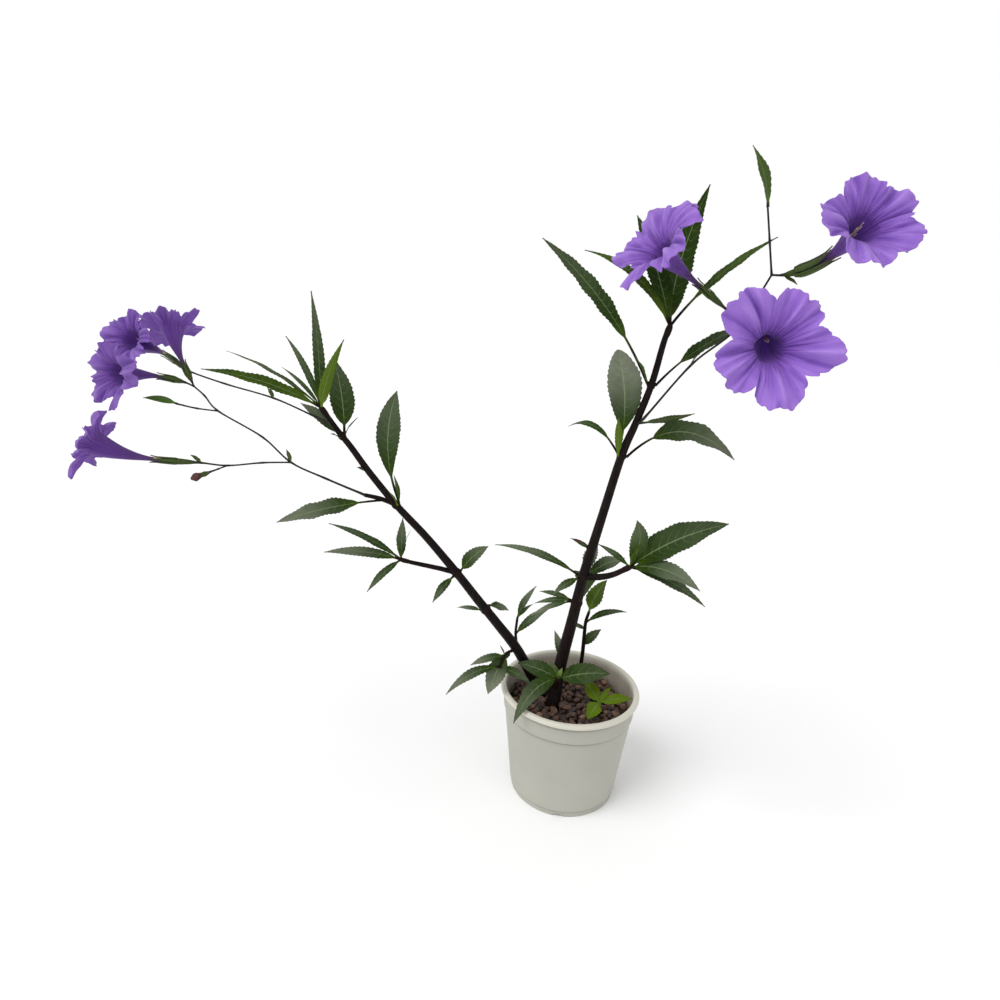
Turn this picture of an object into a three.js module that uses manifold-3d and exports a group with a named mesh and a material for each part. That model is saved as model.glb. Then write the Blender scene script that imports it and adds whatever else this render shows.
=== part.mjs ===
// A flowering ruellia in a plastic nursery pot: two leaning stems with leaves in
// whorls at their nodes, thin flower stalks and seven funnel flowers.
// Millimetres, +Z up, origin at the middle of the pot's underside, front towards -Y.
import * as THREE from 'three';
import { mergeVertices } from 'three/addons/utils/BufferGeometryUtils.js';
import Module from 'manifold-3d';

const wasm = await Module();
wasm.setup();

// Pot and what fills it
const rimRadius = 60;
const potHeight = 100;
const footRadius = 46.5;
const footHeight = 5;
const shoulderRadius = 55.5;
const wall = 2;
const collarHeight = 20;
const floorHeight = 4.6;
const footRecess = 2;
const centrePadRadius = 8;
const notchCount = 4;
const notchWidth = 8;
const notchDepth = 10;
const drainCount = 6;
const drainRadius = 3.5;
const drainCircle = 36;
const drainSides = 8;
const potSides = 32;
const soilTop = 77;
const gravelTop = 82;
const pebblePitch = 11;
const pebbleRise = 3.6;

// Gap between pieces that touch, and how close two vertices are to be one
const gap = 0.3;
const weld = 1e-5;

// Leaf blades, their stalks and the rings that hold a whorl round its stem
const bladeThickness = 0.7;
const stalkThickness = 1.4;
const stalkWidth = 2;
const narrowBlade = 8.5;
const ringWall = 1.5;
const ringEdge = 1.1;
const ringHalf = 2.4;
const rootDepth = 0.8;

// Flowers: tube, funnel and five lobes
const tubeRadius = 1.3;
const mouthRadius = 8.5;
const mouthAngle = 40;
const petalThickness = 0.8;
const lobes = 5;
const petalSides = 20;

// Stems and stalks, each point as x, y, z and the radius there
const stems = {
  right: [
    [-17, -13, 60, 6.2], [-13, -8, 84, 5.8], [-10, 1, 114, 5.2], [-3, -5, 162, 4.5], [3, -12, 207, 4],
    [13, -24, 264, 3.3], [22, -36, 314, 2.9], [29, -42, 339, 2.5], [36, -50, 367, 2.2],
    [40, -58, 395, 1.9], [42, -61, 404, 1.8],
  ],
  rightBranch: [[3, -12, 207, 2.8], [16, -16, 210, 2.6], [26, -20, 215, 2.3], [36, -26, 224, 2]],
  left: [
    [-21, 26, 62, 5], [-29, 15, 84, 4.7], [-47, -4, 129, 4.3], [-65, -10, 155, 3.9], [-82, -15, 178, 3.7],
    [-99, -22, 203, 3.4], [-122, -32, 235, 3], [-144, -42, 263, 2.7], [-162, -50, 289, 2.5],
    [-174, -56, 309, 2.3], [-182, -60, 321, 2.1], [-190, -66, 336, 1.8],
  ],
  leftLowBranch: [[-99, -22, 203, 2.2], [-112, -26, 207, 2], [-132, -34, 213, 1.7], [-139, -38, 216, 1.5]],
  leftHighBranch: [[-144, -42, 263, 1.9], [-155, -46, 268, 1.7], [-166, -50, 271, 1.5]],
  back: [
    [8, 46, 66, 2], [8, 42, 84, 1.9], [9, 36, 109, 1.8], [9, 32, 127, 1.7], [9, 28, 146, 1.5],
    [11, 24, 159, 1.3],
  ],
  rosette: [[-12, -4, 97, 3], [-11, -9, 104, 2.6], [-10, -14, 112, 2.2]],
  seedling: [[26, -12, 68, 1.5], [26, -12, 84, 1.5], [26, -12, 93, 1.6]],
  lowTwig: [[-47, -4, 129, 1.4], [-52, -14, 133, 1.3], [-56, -22, 133, 1.2], [-59, -26, 124, 1.1]],
  highTwig: [[-47, -4, 129, 1.4], [-50, 0, 142, 1.2], [-50, 6, 154, 1.1]],
  rightSpray: [
    [29, -42, 339, 1.3], [34, -47, 344, 1.3], [58, -62, 382, 1.1], [77, -76, 403, 1.1],
    [87, -80, 421, 1], [94, -84, 438, 1],
  ],
  rightInnerStalk: [[82, -78, 411, 1], [73, -74, 418, 1.1], [64, -71, 425, 2.3]],
  rightFrontStalk: [[77, -76, 403, 1], [80, -88, 407, 1.1], [86, -101, 410, 2.3]],
  rightOuterStalk: [[94, -84, 438, 1], [99, -88, 438, 1.2], [106, -92, 440, 2.3]],
  rightTopStalk: [[94, -84, 438, 1], [90, -84, 456, 0.9], [86, -84, 474, 0.9]],
  leftSpray: [
    [-164, -49, 270, 1.4], [-192, -62, 285, 1.2], [-214, -70, 297, 1.1], [-235, -70, 314, 1],
    [-269, -68, 330, 1], [-280, -66, 340, 1], [-289, -64, 346, 1],
  ],
  leftLowStalk: [
    [-214, -70, 297, 1], [-232, -78, 297, 1], [-254, -86, 295, 1], [-270, -92, 297, 1.1],
    [-285, -97, 298, 2.3],
  ],
  leftBudStalk: [[-269, -68, 330, 0.9], [-282, -74, 332, 0.9], [-293, -79, 335, 1.1]],
  leftSpentStalk: [[-254, -86, 295, 0.9], [-259, -90, 293, 0.9], [-264, -94, 291, 1.4]],
  leftMiddleStalk: [[-289, -64, 346, 1], [-293, -68, 349, 1.2], [-298, -72, 351, 2.3]],
  leftUpperStalk: [[-289, -64, 346, 1], [-291, -63, 349, 1.2], [-294, -62, 354, 2.3]],
  leftBackSpray: [
    [-184, -61, 325, 1.2], [-201, -58, 330, 1.1], [-233, -54, 340, 1], [-274, -48, 347, 1],
    [-307, -42, 354, 1.1], [-318, -40, 360, 2.3],
  ],
};

// A leaf by its azimuth from +X towards +Y and its rise in degrees, its length and
// width, the height of its arch, its sideways bow, its roll in degrees, the share of
// its length that is stalk, the depth of its teeth, how far its widest place lies from
// its foot, and how full its oval is. Blades turn their upper faces to the light at the
// front unless they are given a roll.
const ovalLean = 0.76;
const ovalFullness = 0.9;
const frontTurn = 45;
const radians = THREE.MathUtils.degToRad;
const leaf = (azimuth, rise, long, wide, more = {}) => ({
  azimuth, rise, long, wide, arch: 0.06 * long, bow: 0,
  roll: frontTurn * Math.cos(radians(azimuth)), stalk: 0.08, teeth: 0.1,
  lean: ovalLean, full: ovalFullness, ...more,
});

// Whorls: the stem that carries them, where along its points they sit, and the leaves
const whorls = {
  right_branch_leaves: {
    stem: 'rightBranch', at: 'tip', leaves: [
      leaf(-4, 33, 80, 24), leaf(-31, -1, 57, 15, { arch: 7 }), leaf(-8, -21, 63, 9, { arch: 5 }),
      leaf(-85, 78, 42, 14, { bow: -5, roll: 0 }), leaf(159, 25, 30, 5), leaf(-59, 64, 30, 6),
    ],
  },
  right_lower_leaves: {
    stem: 'right', at: 4, cutBy: ['rightBranch'], leaves: [
      leaf(75, 32, 36, 11), leaf(48, 6, 46, 12), leaf(88, -50, 42, 20, { arch: 8 }),
      leaf(172, 12, 72, 6.5, { arch: 6 }), leaf(-142, -22, 26, 6.6),
    ],
  },
  right_middle_leaves: {
    stem: 'right', at: 3.45, leaves: [
      leaf(159, 0, 29, 5), leaf(165, -18, 33, 5), leaf(180, -28, 36, 5), leaf(100, -60, 38, 7),
    ],
  },
  right_foot_leaf: { stem: 'right', at: 2.2, leaves: [leaf(125, 54, 25, 7)] },
  right_bud_leaf: { stem: 'right', at: 4.45, leaves: [leaf(180, 26, 19, 4)] },
  right_upper_leaves: {
    stem: 'right', at: 6, leaves: [
      leaf(-8, 5, 73, 19, { arch: 19, roll: 40, stalk: 0.25 }),
      leaf(164, 84, 73, 24, { roll: -60, stalk: 0.24, arch: 7, bow: -8, lean: 1.2, full: 0.65 }),
      leaf(-100, 62, 34, 6), leaf(148, 16, 46, 5, { arch: 12, bow: -5, roll: -40, stalk: 0.2 }),
    ],
  },
  right_top_leaves: {
    stem: 'right', at: 8, leaves: [
      leaf(-6, 40, 64, 10, { stalk: 0.33 }), leaf(176, 49, 118, 12, { stalk: 0.28, arch: 7, roll: -60 }),
      leaf(-132, 48, 26, 7, { stalk: 0.15 }),
    ],
  },
  right_crown: {
    stem: 'right', at: 'tip', leaves: [
      leaf(63, 66, 97, 17, { arch: -11, bow: -10, roll: 37 }), leaf(126, 57, 82, 14, { arch: 3, roll: -30 }),
      leaf(155, 35, 79, 7, { arch: 9 }),
      leaf(10, 43, 82, 6, { stalk: 0.25 }),
    ],
  },
  left_middle_leaves: { stem: 'left', at: 3.6, leaves: [leaf(165, -7, 23, 4), leaf(38, -24, 22, 8)] },
  left_lower_leaves: {
    stem: 'left', at: 5, cutBy: ['leftLowBranch'], leaves: [
      leaf(-15, 48, 35, 12, { roll: 70 }), leaf(-125, -37, 27, 7),
    ],
  },
  left_branch_leaves: {
    stem: 'leftLowBranch', at: 'tip', leaves: [
      leaf(-174, 25, 63, 6), leaf(-167, 5, 60, 8, { roll: -60 }), leaf(-136, -36, 36, 6.6),
      leaf(-29, 69, 29, 4), leaf(100, 72, 33, 8), leaf(150, 70, 18, 3),
    ],
  },
  left_upper_leaves: {
    stem: 'left', at: 7, cutBy: ['leftHighBranch'], leaves: [
      leaf(111, 73, 85, 18, { stalk: 0.2, roll: 0, arch: 4, bow: -8, lean: 1.1 }), leaf(-100, 70, 26, 4),
      leaf(-110, 50, 20, 4),
    ],
  },
  left_side_leaf: {
    stem: 'leftHighBranch', at: 0.7, leaves: [leaf(-152, -9, 80, 14, { arch: 3, stalk: 0.25 })],
  },
  left_bud_leaf: { stem: 'left', at: 8, leaves: [leaf(-134, 27, 11, 5)] },
  left_top_leaves: {
    stem: 'left', at: 9.65, leaves: [
      leaf(127, 65, 57, 18, { roll: -10, stalk: 0.12, arch: -4, bow: 3 }), leaf(-25, 46, 20, 4),
      leaf(160, 27, 43, 8, { roll: -43, bow: -1 }),
      leaf(-117, 25, 10, 4),
    ],
  },
  left_crown: {
    stem: 'left', at: 'tip', leaves: [
      leaf(-165, 17, 83, 9), leaf(152, 85, 79, 8, { roll: -35, arch: 2, lean: 0.6 }),
      leaf(-31, 61, 56, 8, { roll: -50, arch: -2, bow: 5, lean: 0.6 }), leaf(161, 35, 44, 3),
      leaf(150, 50, 61, 5),
      leaf(174, 25, 82, 5, { roll: -10 }),
    ],
  },
};

// Green shoots that are one body from their stem to their leaves
const shoots = {
  back_shoot: {
    stems: ['back'], leaves: [
      ['back', 5, leaf(17, 66, 33, 14)], ['back', 2.6, leaf(20, 45, 22, 9)],
      ['back', 4, leaf(16, 15, 38, 6, { arch: 5 })], ['back', 3.6, leaf(160, 10, 12, 4)],
    ],
  },
  rosette_shoot: {
    stems: ['rosette'], cutBy: ['right'], leaves: [
      ['rosette', 2, leaf(172, 12, 37, 14)], ['rosette', 2, leaf(8, 10, 44, 18)],
      ['rosette', 2, leaf(-127, -20, 56, 14, { arch: 12, roll: -25 })], ['rosette', 2, leaf(119, 24, 18, 6)],
      ['rosette', 2, leaf(60, 60, 10, 4)], ['rosette', 2, leaf(-80, 55, 8, 4)],
    ],
  },
  seedling: {
    stems: ['seedling'], leaves: [
      ['seedling', 2, leaf(129, 22, 23, 12)], ['seedling', 2, leaf(12, 8, 29, 9)],
      ['seedling', 2, leaf(44, 40, 17, 5)], ['seedling', 2, leaf(-113, -8, 23, 13)],
    ],
  },
  left_low_shoot: {
    stems: ['lowTwig'], cutBy: ['left'], leaves: [
      ['lowTwig', 2, leaf(-156, 65, 11, 2)], ['lowTwig', 2, leaf(-152, -9, 30, 7)],
      ['lowTwig', 1.6, leaf(-128, -58, 37, 16, { roll: -40 })],
      ['lowTwig', 3, leaf(-145, -17, 50, 8, { arch: 7 })],
      ['lowTwig', 3, leaf(8, -28, 30, 8)], ['lowTwig', 1, leaf(-120, -22, 12, 5)],
    ],
  },
  left_high_shoot: {
    stems: ['highTwig'], cutBy: ['left'], leaves: [
      ['highTwig', 2, leaf(15, 64, 34, 6.6)], ['highTwig', 2, leaf(-9, 51, 21, 4)],
      ['highTwig', 1, leaf(12, 42, 38, 8)],
    ],
  },
};

// Flower stalks: tubes joined to each other, with the bracts and buds they carry
const sprays = {
  right_flower_stalks: {
    stems: ['rightSpray', 'rightInnerStalk', 'rightFrontStalk', 'rightOuterStalk', 'rightTopStalk'],
    cutBy: ['right'], leaves: [
      ['rightSpray', 0.6, leaf(38, 5, 53, 6, { arch: -1, bow: -1, roll: 35, stalk: 0.15 })],
      ['rightSpray', 2, leaf(-30, 60, 9, 3)],
      ['rightTopStalk', 2, leaf(170, 68, 34, 8)], ['rightOuterStalk', 1, leaf(-20, -30, 10, 3)],
    ],
  },
  left_flower_stalks: {
    stems: [
      'leftSpray', 'leftLowStalk', 'leftBudStalk', 'leftSpentStalk', 'leftMiddleStalk', 'leftUpperStalk',
    ],
    cutBy: ['left', 'leftHighBranch'], leaves: [
      ['leftSpray', 2, leaf(150, 60, 10, 3)], ['leftLowStalk', 3, leaf(-160, 40, 9, 3)],
      ['leftBudStalk', 2, leaf(-170, 8, 24, 5)],
    ],
  },
  left_back_stalk: {
    stems: ['leftBackSpray'], cutBy: ['left'], leaves: [
      ['leftBackSpray', 2, leaf(160, 50, 9, 3)],
    ],
  },
};

// Flowers: the stalk that carries each, the middle of its mouth, the way the mouth
// faces, its turn about the axis, and its lobes. A lobe has its own turn in degrees, its
// length, how far it curls in degrees, and how narrow it is, from 0 to 1.
const flowers = {
  right_inner_flower: {
    stalk: 'rightInnerStalk', mouth: [31, -75, 449], facing: [-0.73, -0.42, 0.54], spin: 6,
    petals: [[2, 28, 104, 0.1], [-3, 27, 95, 0.4], [-1, 30, 111, 1], [-10, 28, 117, 0.2], [-6, 26, 123, 0]],
  },
  right_front_flower: {
    stalk: 'rightFrontStalk', mouth: [86, -142, 400], facing: [0.13, -0.98, 0.14], spin: 11,
    petals: [[1, 30, 92, 0], [4, 30, 93, 0.15], [-4, 29, 91, 0.1], [4, 30, 84, 0.4], [-3, 24, 82, 0]],
  },
  right_outer_flower: {
    stalk: 'rightOuterStalk', mouth: [128, -116, 461], facing: [0.14, -0.89, 0.44], spin: -15,
    petals: [[-8, 20, 75, 0.1], [-4, 25, 86, 0.4], [6, 25, 78, 0], [6, 23, 69, 0.1], [-5, 21, 100, 0.2]],
  },
  left_low_flower: {
    stalk: 'leftLowStalk', mouth: [-335, -111, 309], facing: [-0.88, -0.24, 0.42], spin: 24,
    petals: [[10, 22, 160, 0.9], [1, 22, 150, 0.5], [2, 23, 133, 1], [10, 22, 150, 0.3], [0, 22, 149, 0.9]],
  },
  left_middle_flower: {
    stalk: 'leftMiddleStalk', mouth: [-326, -93, 355], facing: [-0.36, -0.93, 0.02], spin: 28,
    petals: [[7, 18, 116, 0.2], [0, 21, 97, 0.4], [-6, 22, 76, 1], [-1, 23, 128, 0], [-3, 18, 91, 0]],
  },
  left_upper_flower: {
    stalk: 'leftUpperStalk', mouth: [-306, -58, 385], facing: [-0.33, 0.52, 0.79], spin: 16,
    petals: [[9, 23, 135, 0.3], [4, 16, 75, 0], [10, 15, 125, 0.3], [-2, 18, 109, 1], [-4, 19, 91, 0.7]],
  },
  left_back_flower: {
    stalk: 'leftBackSpray', mouth: [-363, -27, 373], facing: [-0.18, -0.91, 0.38], spin: 38,
    petals: [[10, 20, 107, 0.2], [2, 19, 97, 0.2], [10, 19, 101, 0.2], [-3, 21, 111, 0.2], [-4, 17, 102, 0.5]],
  },
};

// Finishes
const finish = (color, roughness) => new THREE.MeshStandardMaterial({ color, roughness, metalness: 0 });
const potPlastic = finish('#cfccbf', 0.5);
const pottingSoil = finish('#2b1d14', 0.95);
const gravelStone = finish('#4a3026', 0.7);
const stemBark = finish('#1f1517', 0.6);
const darkLeaf = finish('#2c4a24', 0.5);
const freshLeaf = finish('#3f9a22', 0.45);
const stalkGreen = finish('#3e4f1c', 0.55);
const petalViolet = finish('#8f63d8', 0.55);
const witheredBrown = finish('#4a2a22', 0.8);

const vector = (x, y, z) => new THREE.Vector3(x, y, z);
const pick = (point) => vector(point[0], point[1], point[2]);
const mixed = (first, much, second, more) => first.clone().multiplyScalar(much).addScaledVector(second, more);
const drawn = (seed) => {
  const value = Math.sin(seed * 127.1 + 11.7) * 43758.5453;
  return value - Math.floor(value);
};

// Solids from geometries and back
function solidOf(geometry) {
  const bare = geometry.clone();
  bare.deleteAttribute('normal');
  bare.deleteAttribute('uv');
  const merged = mergeVertices(bare, weld);
  return new wasm.Manifold(new wasm.Mesh({
    numProp: 3,
    vertProperties: Float32Array.from(merged.attributes.position.array),
    triVerts: Uint32Array.from(merged.index.array),
  }));
}

function geometryOf(solid) {
  const mesh = solid.getMesh();
  const geometry = new THREE.BufferGeometry();
  geometry.setAttribute('position', new THREE.BufferAttribute(Float32Array.from(mesh.vertProperties), 3));
  geometry.setIndex(new THREE.BufferAttribute(Uint32Array.from(mesh.triVerts), 1));
  return geometry;
}

// The largest body of a solid, without the scraps that a cut leaves loose
function mainBody(solid) {
  const bodies = solid.decompose();
  return bodies.reduce((best, body) => (body.volume() > best.volume() ? body : best));
}

const joined = (solids) => solids.reduce((whole, solid) => whole.add(solid));
const cut = (solid, tools) => tools.reduce((rest, tool) => rest.subtract(tool), solid);

function indexed(points, faces) {
  const geometry = new THREE.BufferGeometry().setFromPoints(points);
  geometry.setIndex(faces);
  return solidOf(geometry);
}

// A sheet with thickness: rows of points on its two sides, split into triangles
// alike, with walls round its edges. A closed sheet has its last column next to its first.
function sheet(front, back, closed) {
  const rows = front.length - 1;
  const columns = front[0].length;
  const spans = closed ? columns : columns - 1;
  const a = (i, j) => i * columns + (j % columns);
  const b = (i, j) => (rows + 1) * columns + a(i, j);
  const faces = [];
  const rim = (p, q, under, over) => faces.push(q, p, under, q, under, over);
  for (let i = 0; i < rows; i++) {
    for (let j = 0; j < spans; j++) {
      faces.push(a(i, j), a(i, j + 1), a(i + 1, j + 1), a(i, j), a(i + 1, j + 1), a(i + 1, j));
      faces.push(b(i, j), b(i + 1, j + 1), b(i, j + 1), b(i, j), b(i + 1, j), b(i + 1, j + 1));
    }
    if (!closed) {
      rim(a(i, spans), a(i + 1, spans), b(i, spans), b(i + 1, spans));
      rim(a(i + 1, 0), a(i, 0), b(i + 1, 0), b(i, 0));
    }
  }
  for (let j = 0; j < spans; j++) {
    rim(a(0, j), a(0, j + 1), b(0, j), b(0, j + 1));
    rim(a(rows, j + 1), a(rows, j), b(rows, j + 1), b(rows, j));
  }
  return indexed([...front.flat(), ...back.flat()], faces);
}

// A rod through rings of points, closed by a fan at each end
function rod(rings) {
  const sides = rings[0].points.length;
  const last = rings.length - 1;
  const at = (i, j) => i * sides + (j % sides);
  const foot = rings.length * sides;
  const faces = [];
  for (let j = 0; j < sides; j++) {
    for (let i = 0; i < last; i++) {
      faces.push(at(i, j), at(i, j + 1), at(i + 1, j + 1), at(i, j), at(i + 1, j + 1), at(i + 1, j));
    }
    faces.push(foot, at(0, j + 1), at(0, j), foot + 1, at(last, j), at(last, j + 1));
  }
  return indexed([...rings.flatMap((ring) => ring.points), rings[0].centre, rings[last].centre], faces);
}

// A direction that leans more than this on an axis takes another axis as its reference
const nearAxis = 0.75;

// Where a stem is at a place along its points, with its heading, radius and two
// directions across it. Past its end it goes straight on by the extra length.
function station(name, at, extra = 0) {
  const points = stems[name];
  const last = points.length - 1;
  const curve = new THREE.CatmullRomCurve3(points.map(pick), false, 'catmullrom', 0.5);
  const heading = curve.getTangent(at / last);
  const whole = pick(points[last]).sub(pick(points[0])).normalize();
  const reference = Math.abs(whole.y) > nearAxis ? vector(0, 0, 1) : vector(0, 1, 0);
  const across = vector(0, 0, 0).crossVectors(heading, reference).normalize();
  const beside = vector(0, 0, 0).crossVectors(across, heading);
  const low = Math.min(Math.floor(at), last - 1);
  const radius = THREE.MathUtils.lerp(points[low][3], points[low + 1][3], at - low);
  const centre = curve.getPoint(at / last).addScaledVector(heading, extra);
  return { centre, heading, across, beside, radius };
}

function ringAt(place, radius, sides) {
  const points = Array.from({ length: sides }, (_, j) => {
    const angle = (2 * Math.PI * j) / sides;
    return place.centre.clone()
      .addScaledVector(place.beside, radius * Math.cos(angle))
      .addScaledVector(place.across, radius * Math.sin(angle));
  });
  return { points, centre: place.centre };
}

// Thick stems are rounder, and have two steps between their points
const thickStem = 2.9;
const thinStem = 1.45;
const isThick = (name) => stems[name][0][3] > thickStem;
const sidesOf = (name) => (isThick(name) ? 8 : stems[name][0][3] > thinStem ? 6 : 5);

// A stem as a tapering rod, or the room that it takes when it is grown by a gap
function stemRod(name, grow = 0) {
  const perSpan = isThick(name) ? 2 : 1;
  const steps = (stems[name].length - 1) * perSpan;
  const rings = Array.from({ length: steps + 1 }, (_, i) => {
    const past = i === 0 ? -grow : i === steps ? grow : 0;
    const place = station(name, i / perSpan, past);
    return ringAt(place, place.radius + grow, sidesOf(name));
  });
  return rod(rings);
}

// The swollen ring of a node round its stem
function nodeRing(name, at) {
  const step = 0.1;
  const span = station(name, at).centre.distanceTo(station(name, at - step).centre) / step;
  const rings = [-1, 0, 1].map((side) => {
    const place = station(name, at + (side * ringHalf) / span);
    return ringAt(place, place.radius + (side ? ringEdge : ringWall), sidesOf(name));
  });
  return rod(rings);
}

// The cap over a stem's end: rows of how far past the end and how far outside the stem
const capReach = 2;
const capRows = [[-4, 1.1], [0, 1.3], [capReach, 0.7], [2 * capReach, -0.7]];
function tipCap(name) {
  const end = stems[name].length - 1;
  return rod(capRows.map(([past, more]) => {
    const place = station(name, end, past);
    return ringAt(place, place.radius + more, sidesOf(name));
  }));
}

// Half the width of a blade at a share of its length: a tapering stalk, then a pointed
// oval, with its edge cut in teeth
function halfWidth(shape, share, row) {
  const onBlade = Math.max(0, (share - shape.stalk) / (1 - shape.stalk));
  const oval = Math.sin(Math.PI * onBlade ** shape.lean) ** shape.full;
  const tooth = 1 + shape.teeth * (row % 2 ? 1 : -1);
  const stalk = Math.min(stalkWidth, 0.35 * shape.wide) * (0.5 - 0.3 * share);
  return Math.max(stalk, 0.5 * shape.wide * oval * tooth);
}

// A leaf from its foot: its midrib arches from foot to tip, and its two halves fold
// up from the midrib by a share of their width and ripple at the edge. A narrow leaf is
// flat and one cell across. Blades have a row for each stretch of their length.
const foldRise = 0.22;
const edgeRipple = 0.5;
const narrowStretch = 14;
const broadStretch = 21;
function blade(foot, shape) {
  const azimuth = radians(shape.azimuth);
  const rise = radians(shape.rise);
  const level = vector(Math.cos(azimuth), Math.sin(azimuth), 0);
  const chord = level.clone().multiplyScalar(Math.cos(rise)).setZ(Math.sin(rise));
  const up = level.clone().multiplyScalar(-Math.sin(rise)).setZ(Math.cos(rise));
  const right = vector(0, 0, 0).crossVectors(chord, up);
  const tip = foot.clone().addScaledVector(chord, shape.long);
  const crest = foot.clone().lerp(tip, 0.5)
    .addScaledVector(up, 2 * shape.arch)
    .addScaledVector(right, 2 * shape.bow);
  const midrib = new THREE.QuadraticBezierCurve3(foot, crest, tip);
  const facing = up.clone().applyAxisAngle(chord, radians(shape.roll));
  const narrow = shape.wide <= narrowBlade;
  const stretch = narrow ? narrowStretch : broadStretch;
  const rows = Math.max(2, Math.round((narrow ? 0 : 2.5) + shape.long / stretch));
  const columns = narrow ? [-1, 1] : [-1, 0, 1];
  const front = [];
  const back = [];
  for (let i = 0; i <= rows; i++) {
    const share = i / rows;
    const heading = midrib.getTangent(share);
    const across = vector(0, 0, 0).crossVectors(heading, facing).normalize();
    const normal = vector(0, 0, 0).crossVectors(across, heading);
    const half = halfWidth(shape, share, i);
    const thinned = Math.min(1, share / (shape.stalk + 0.15));
    const thick = THREE.MathUtils.lerp(stalkThickness, bladeThickness, thinned);
    const place = midrib.getPoint(share);
    const ripple = edgeRipple * Math.min(1, half / 4) * (i % 2 ? 1 : -1);
    const line = (lift) => columns.map((side) => place.clone()
      .addScaledVector(across, side * half)
      .addScaledVector(normal, lift + Math.abs(side) * (narrow ? 0 : foldRise * half + ripple)));
    front.push(line(thick / 2));
    back.push(line(-thick / 2));
  }
  return sheet(front, back, false);
}

// Leaves round a stem: each starts inside the ring of its node, on its own side
function whorlBody({ stem, at, leaves, cutBy = [] }) {
  const end = stems[stem].length - 1;
  const onTip = at === 'tip';
  const place = onTip ? station(stem, end, capReach) : station(stem, at);
  const single = leaves.length === 1;
  const blades = leaves.map((shape) => {
    const azimuth = radians(shape.azimuth);
    const out = vector(Math.cos(azimuth), Math.sin(azimuth), Math.tan(radians(shape.rise)));
    out.addScaledVector(place.heading, -out.dot(place.heading)).normalize();
    const start = onTip || single ? 0 : place.radius + rootDepth;
    return blade(place.centre.clone().addScaledVector(out, start), shape);
  });
  const holder = onTip ? [tipCap(stem)] : single ? [] : [nodeRing(stem, at)];
  return mainBody(cut(joined([...blades, ...holder]), [stem, ...cutBy].map((name) => stemRod(name, gap))));
}

function shootBody({ stems: names, leaves, cutBy = [] }) {
  const rods = names.map((name) => stemRod(name));
  const blades = leaves.map(([name, at, shape]) => blade(station(name, at).centre, shape));
  return mainBody(cut(joined([...rods, ...blades]), cutBy.map((name) => stemRod(name, gap))));
}

// A flower's axis bends from the end of its stalk to the way its mouth faces
const axisPull = 0.35;
function flowerAxis(flower) {
  const end = station(flower.stalk, stems[flower.stalk].length - 1);
  const mouth = pick(flower.mouth);
  const facing = pick(flower.facing).normalize();
  const reach = mouth.distanceTo(end.centre);
  const first = end.centre.clone().addScaledVector(end.heading, axisPull * reach);
  const second = mouth.clone().addScaledVector(facing, -axisPull * reach);
  const curve = new THREE.CubicBezierCurve3(end.centre, first, second, mouth);
  const length = curve.getLength();
  const reference = Math.abs(facing.z) > nearAxis ? vector(0, 1, 0) : vector(0, 0, 1);
  return (distance) => {
    const share = THREE.MathUtils.clamp(distance / length, 0, 1);
    const heading = curve.getTangentAt(share);
    const across = vector(0, 0, 0).crossVectors(heading, reference).normalize();
    const beside = vector(0, 0, 0).crossVectors(across, heading);
    const centre = curve.getPointAt(share).addScaledVector(heading, distance - share * length);
    return { centre, heading, across, beside, length };
  };
}

// A ring of points round a flower's axis. Each column gives its turn, its radius, its
// height over the ring's centre, and the slope of the wall, which the inner side follows.
function petalRing(place, sides, column) {
  const front = [];
  const back = [];
  for (let j = 0; j < sides; j++) {
    const angle = (2 * Math.PI * j) / sides;
    const { turn, radius, height, slope } = column(angle, j);
    const out = mixed(place.beside, Math.cos(angle + turn), place.across, Math.sin(angle + turn));
    const outer = place.centre.clone().addScaledVector(out, radius).addScaledVector(place.heading, height);
    front.push(outer);
    back.push(outer.clone()
      .addScaledVector(out, -petalThickness * Math.cos(slope))
      .addScaledVector(place.heading, petalThickness * Math.sin(slope)));
  }
  return { front, back };
}

// What a flower's lobes give at an angle: an even S between the middles of two lobes
function lobeAt(petals, angle) {
  const place = ((angle * lobes) / (2 * Math.PI) - 0.5 + lobes) % lobes;
  const before = Math.floor(place);
  const ease = THREE.MathUtils.smoothstep(place - before, 0, 1);
  const after = petals[(before + 1) % lobes];
  return petals[before].map((value, k) => THREE.MathUtils.lerp(value, after[k], ease));
}

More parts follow.
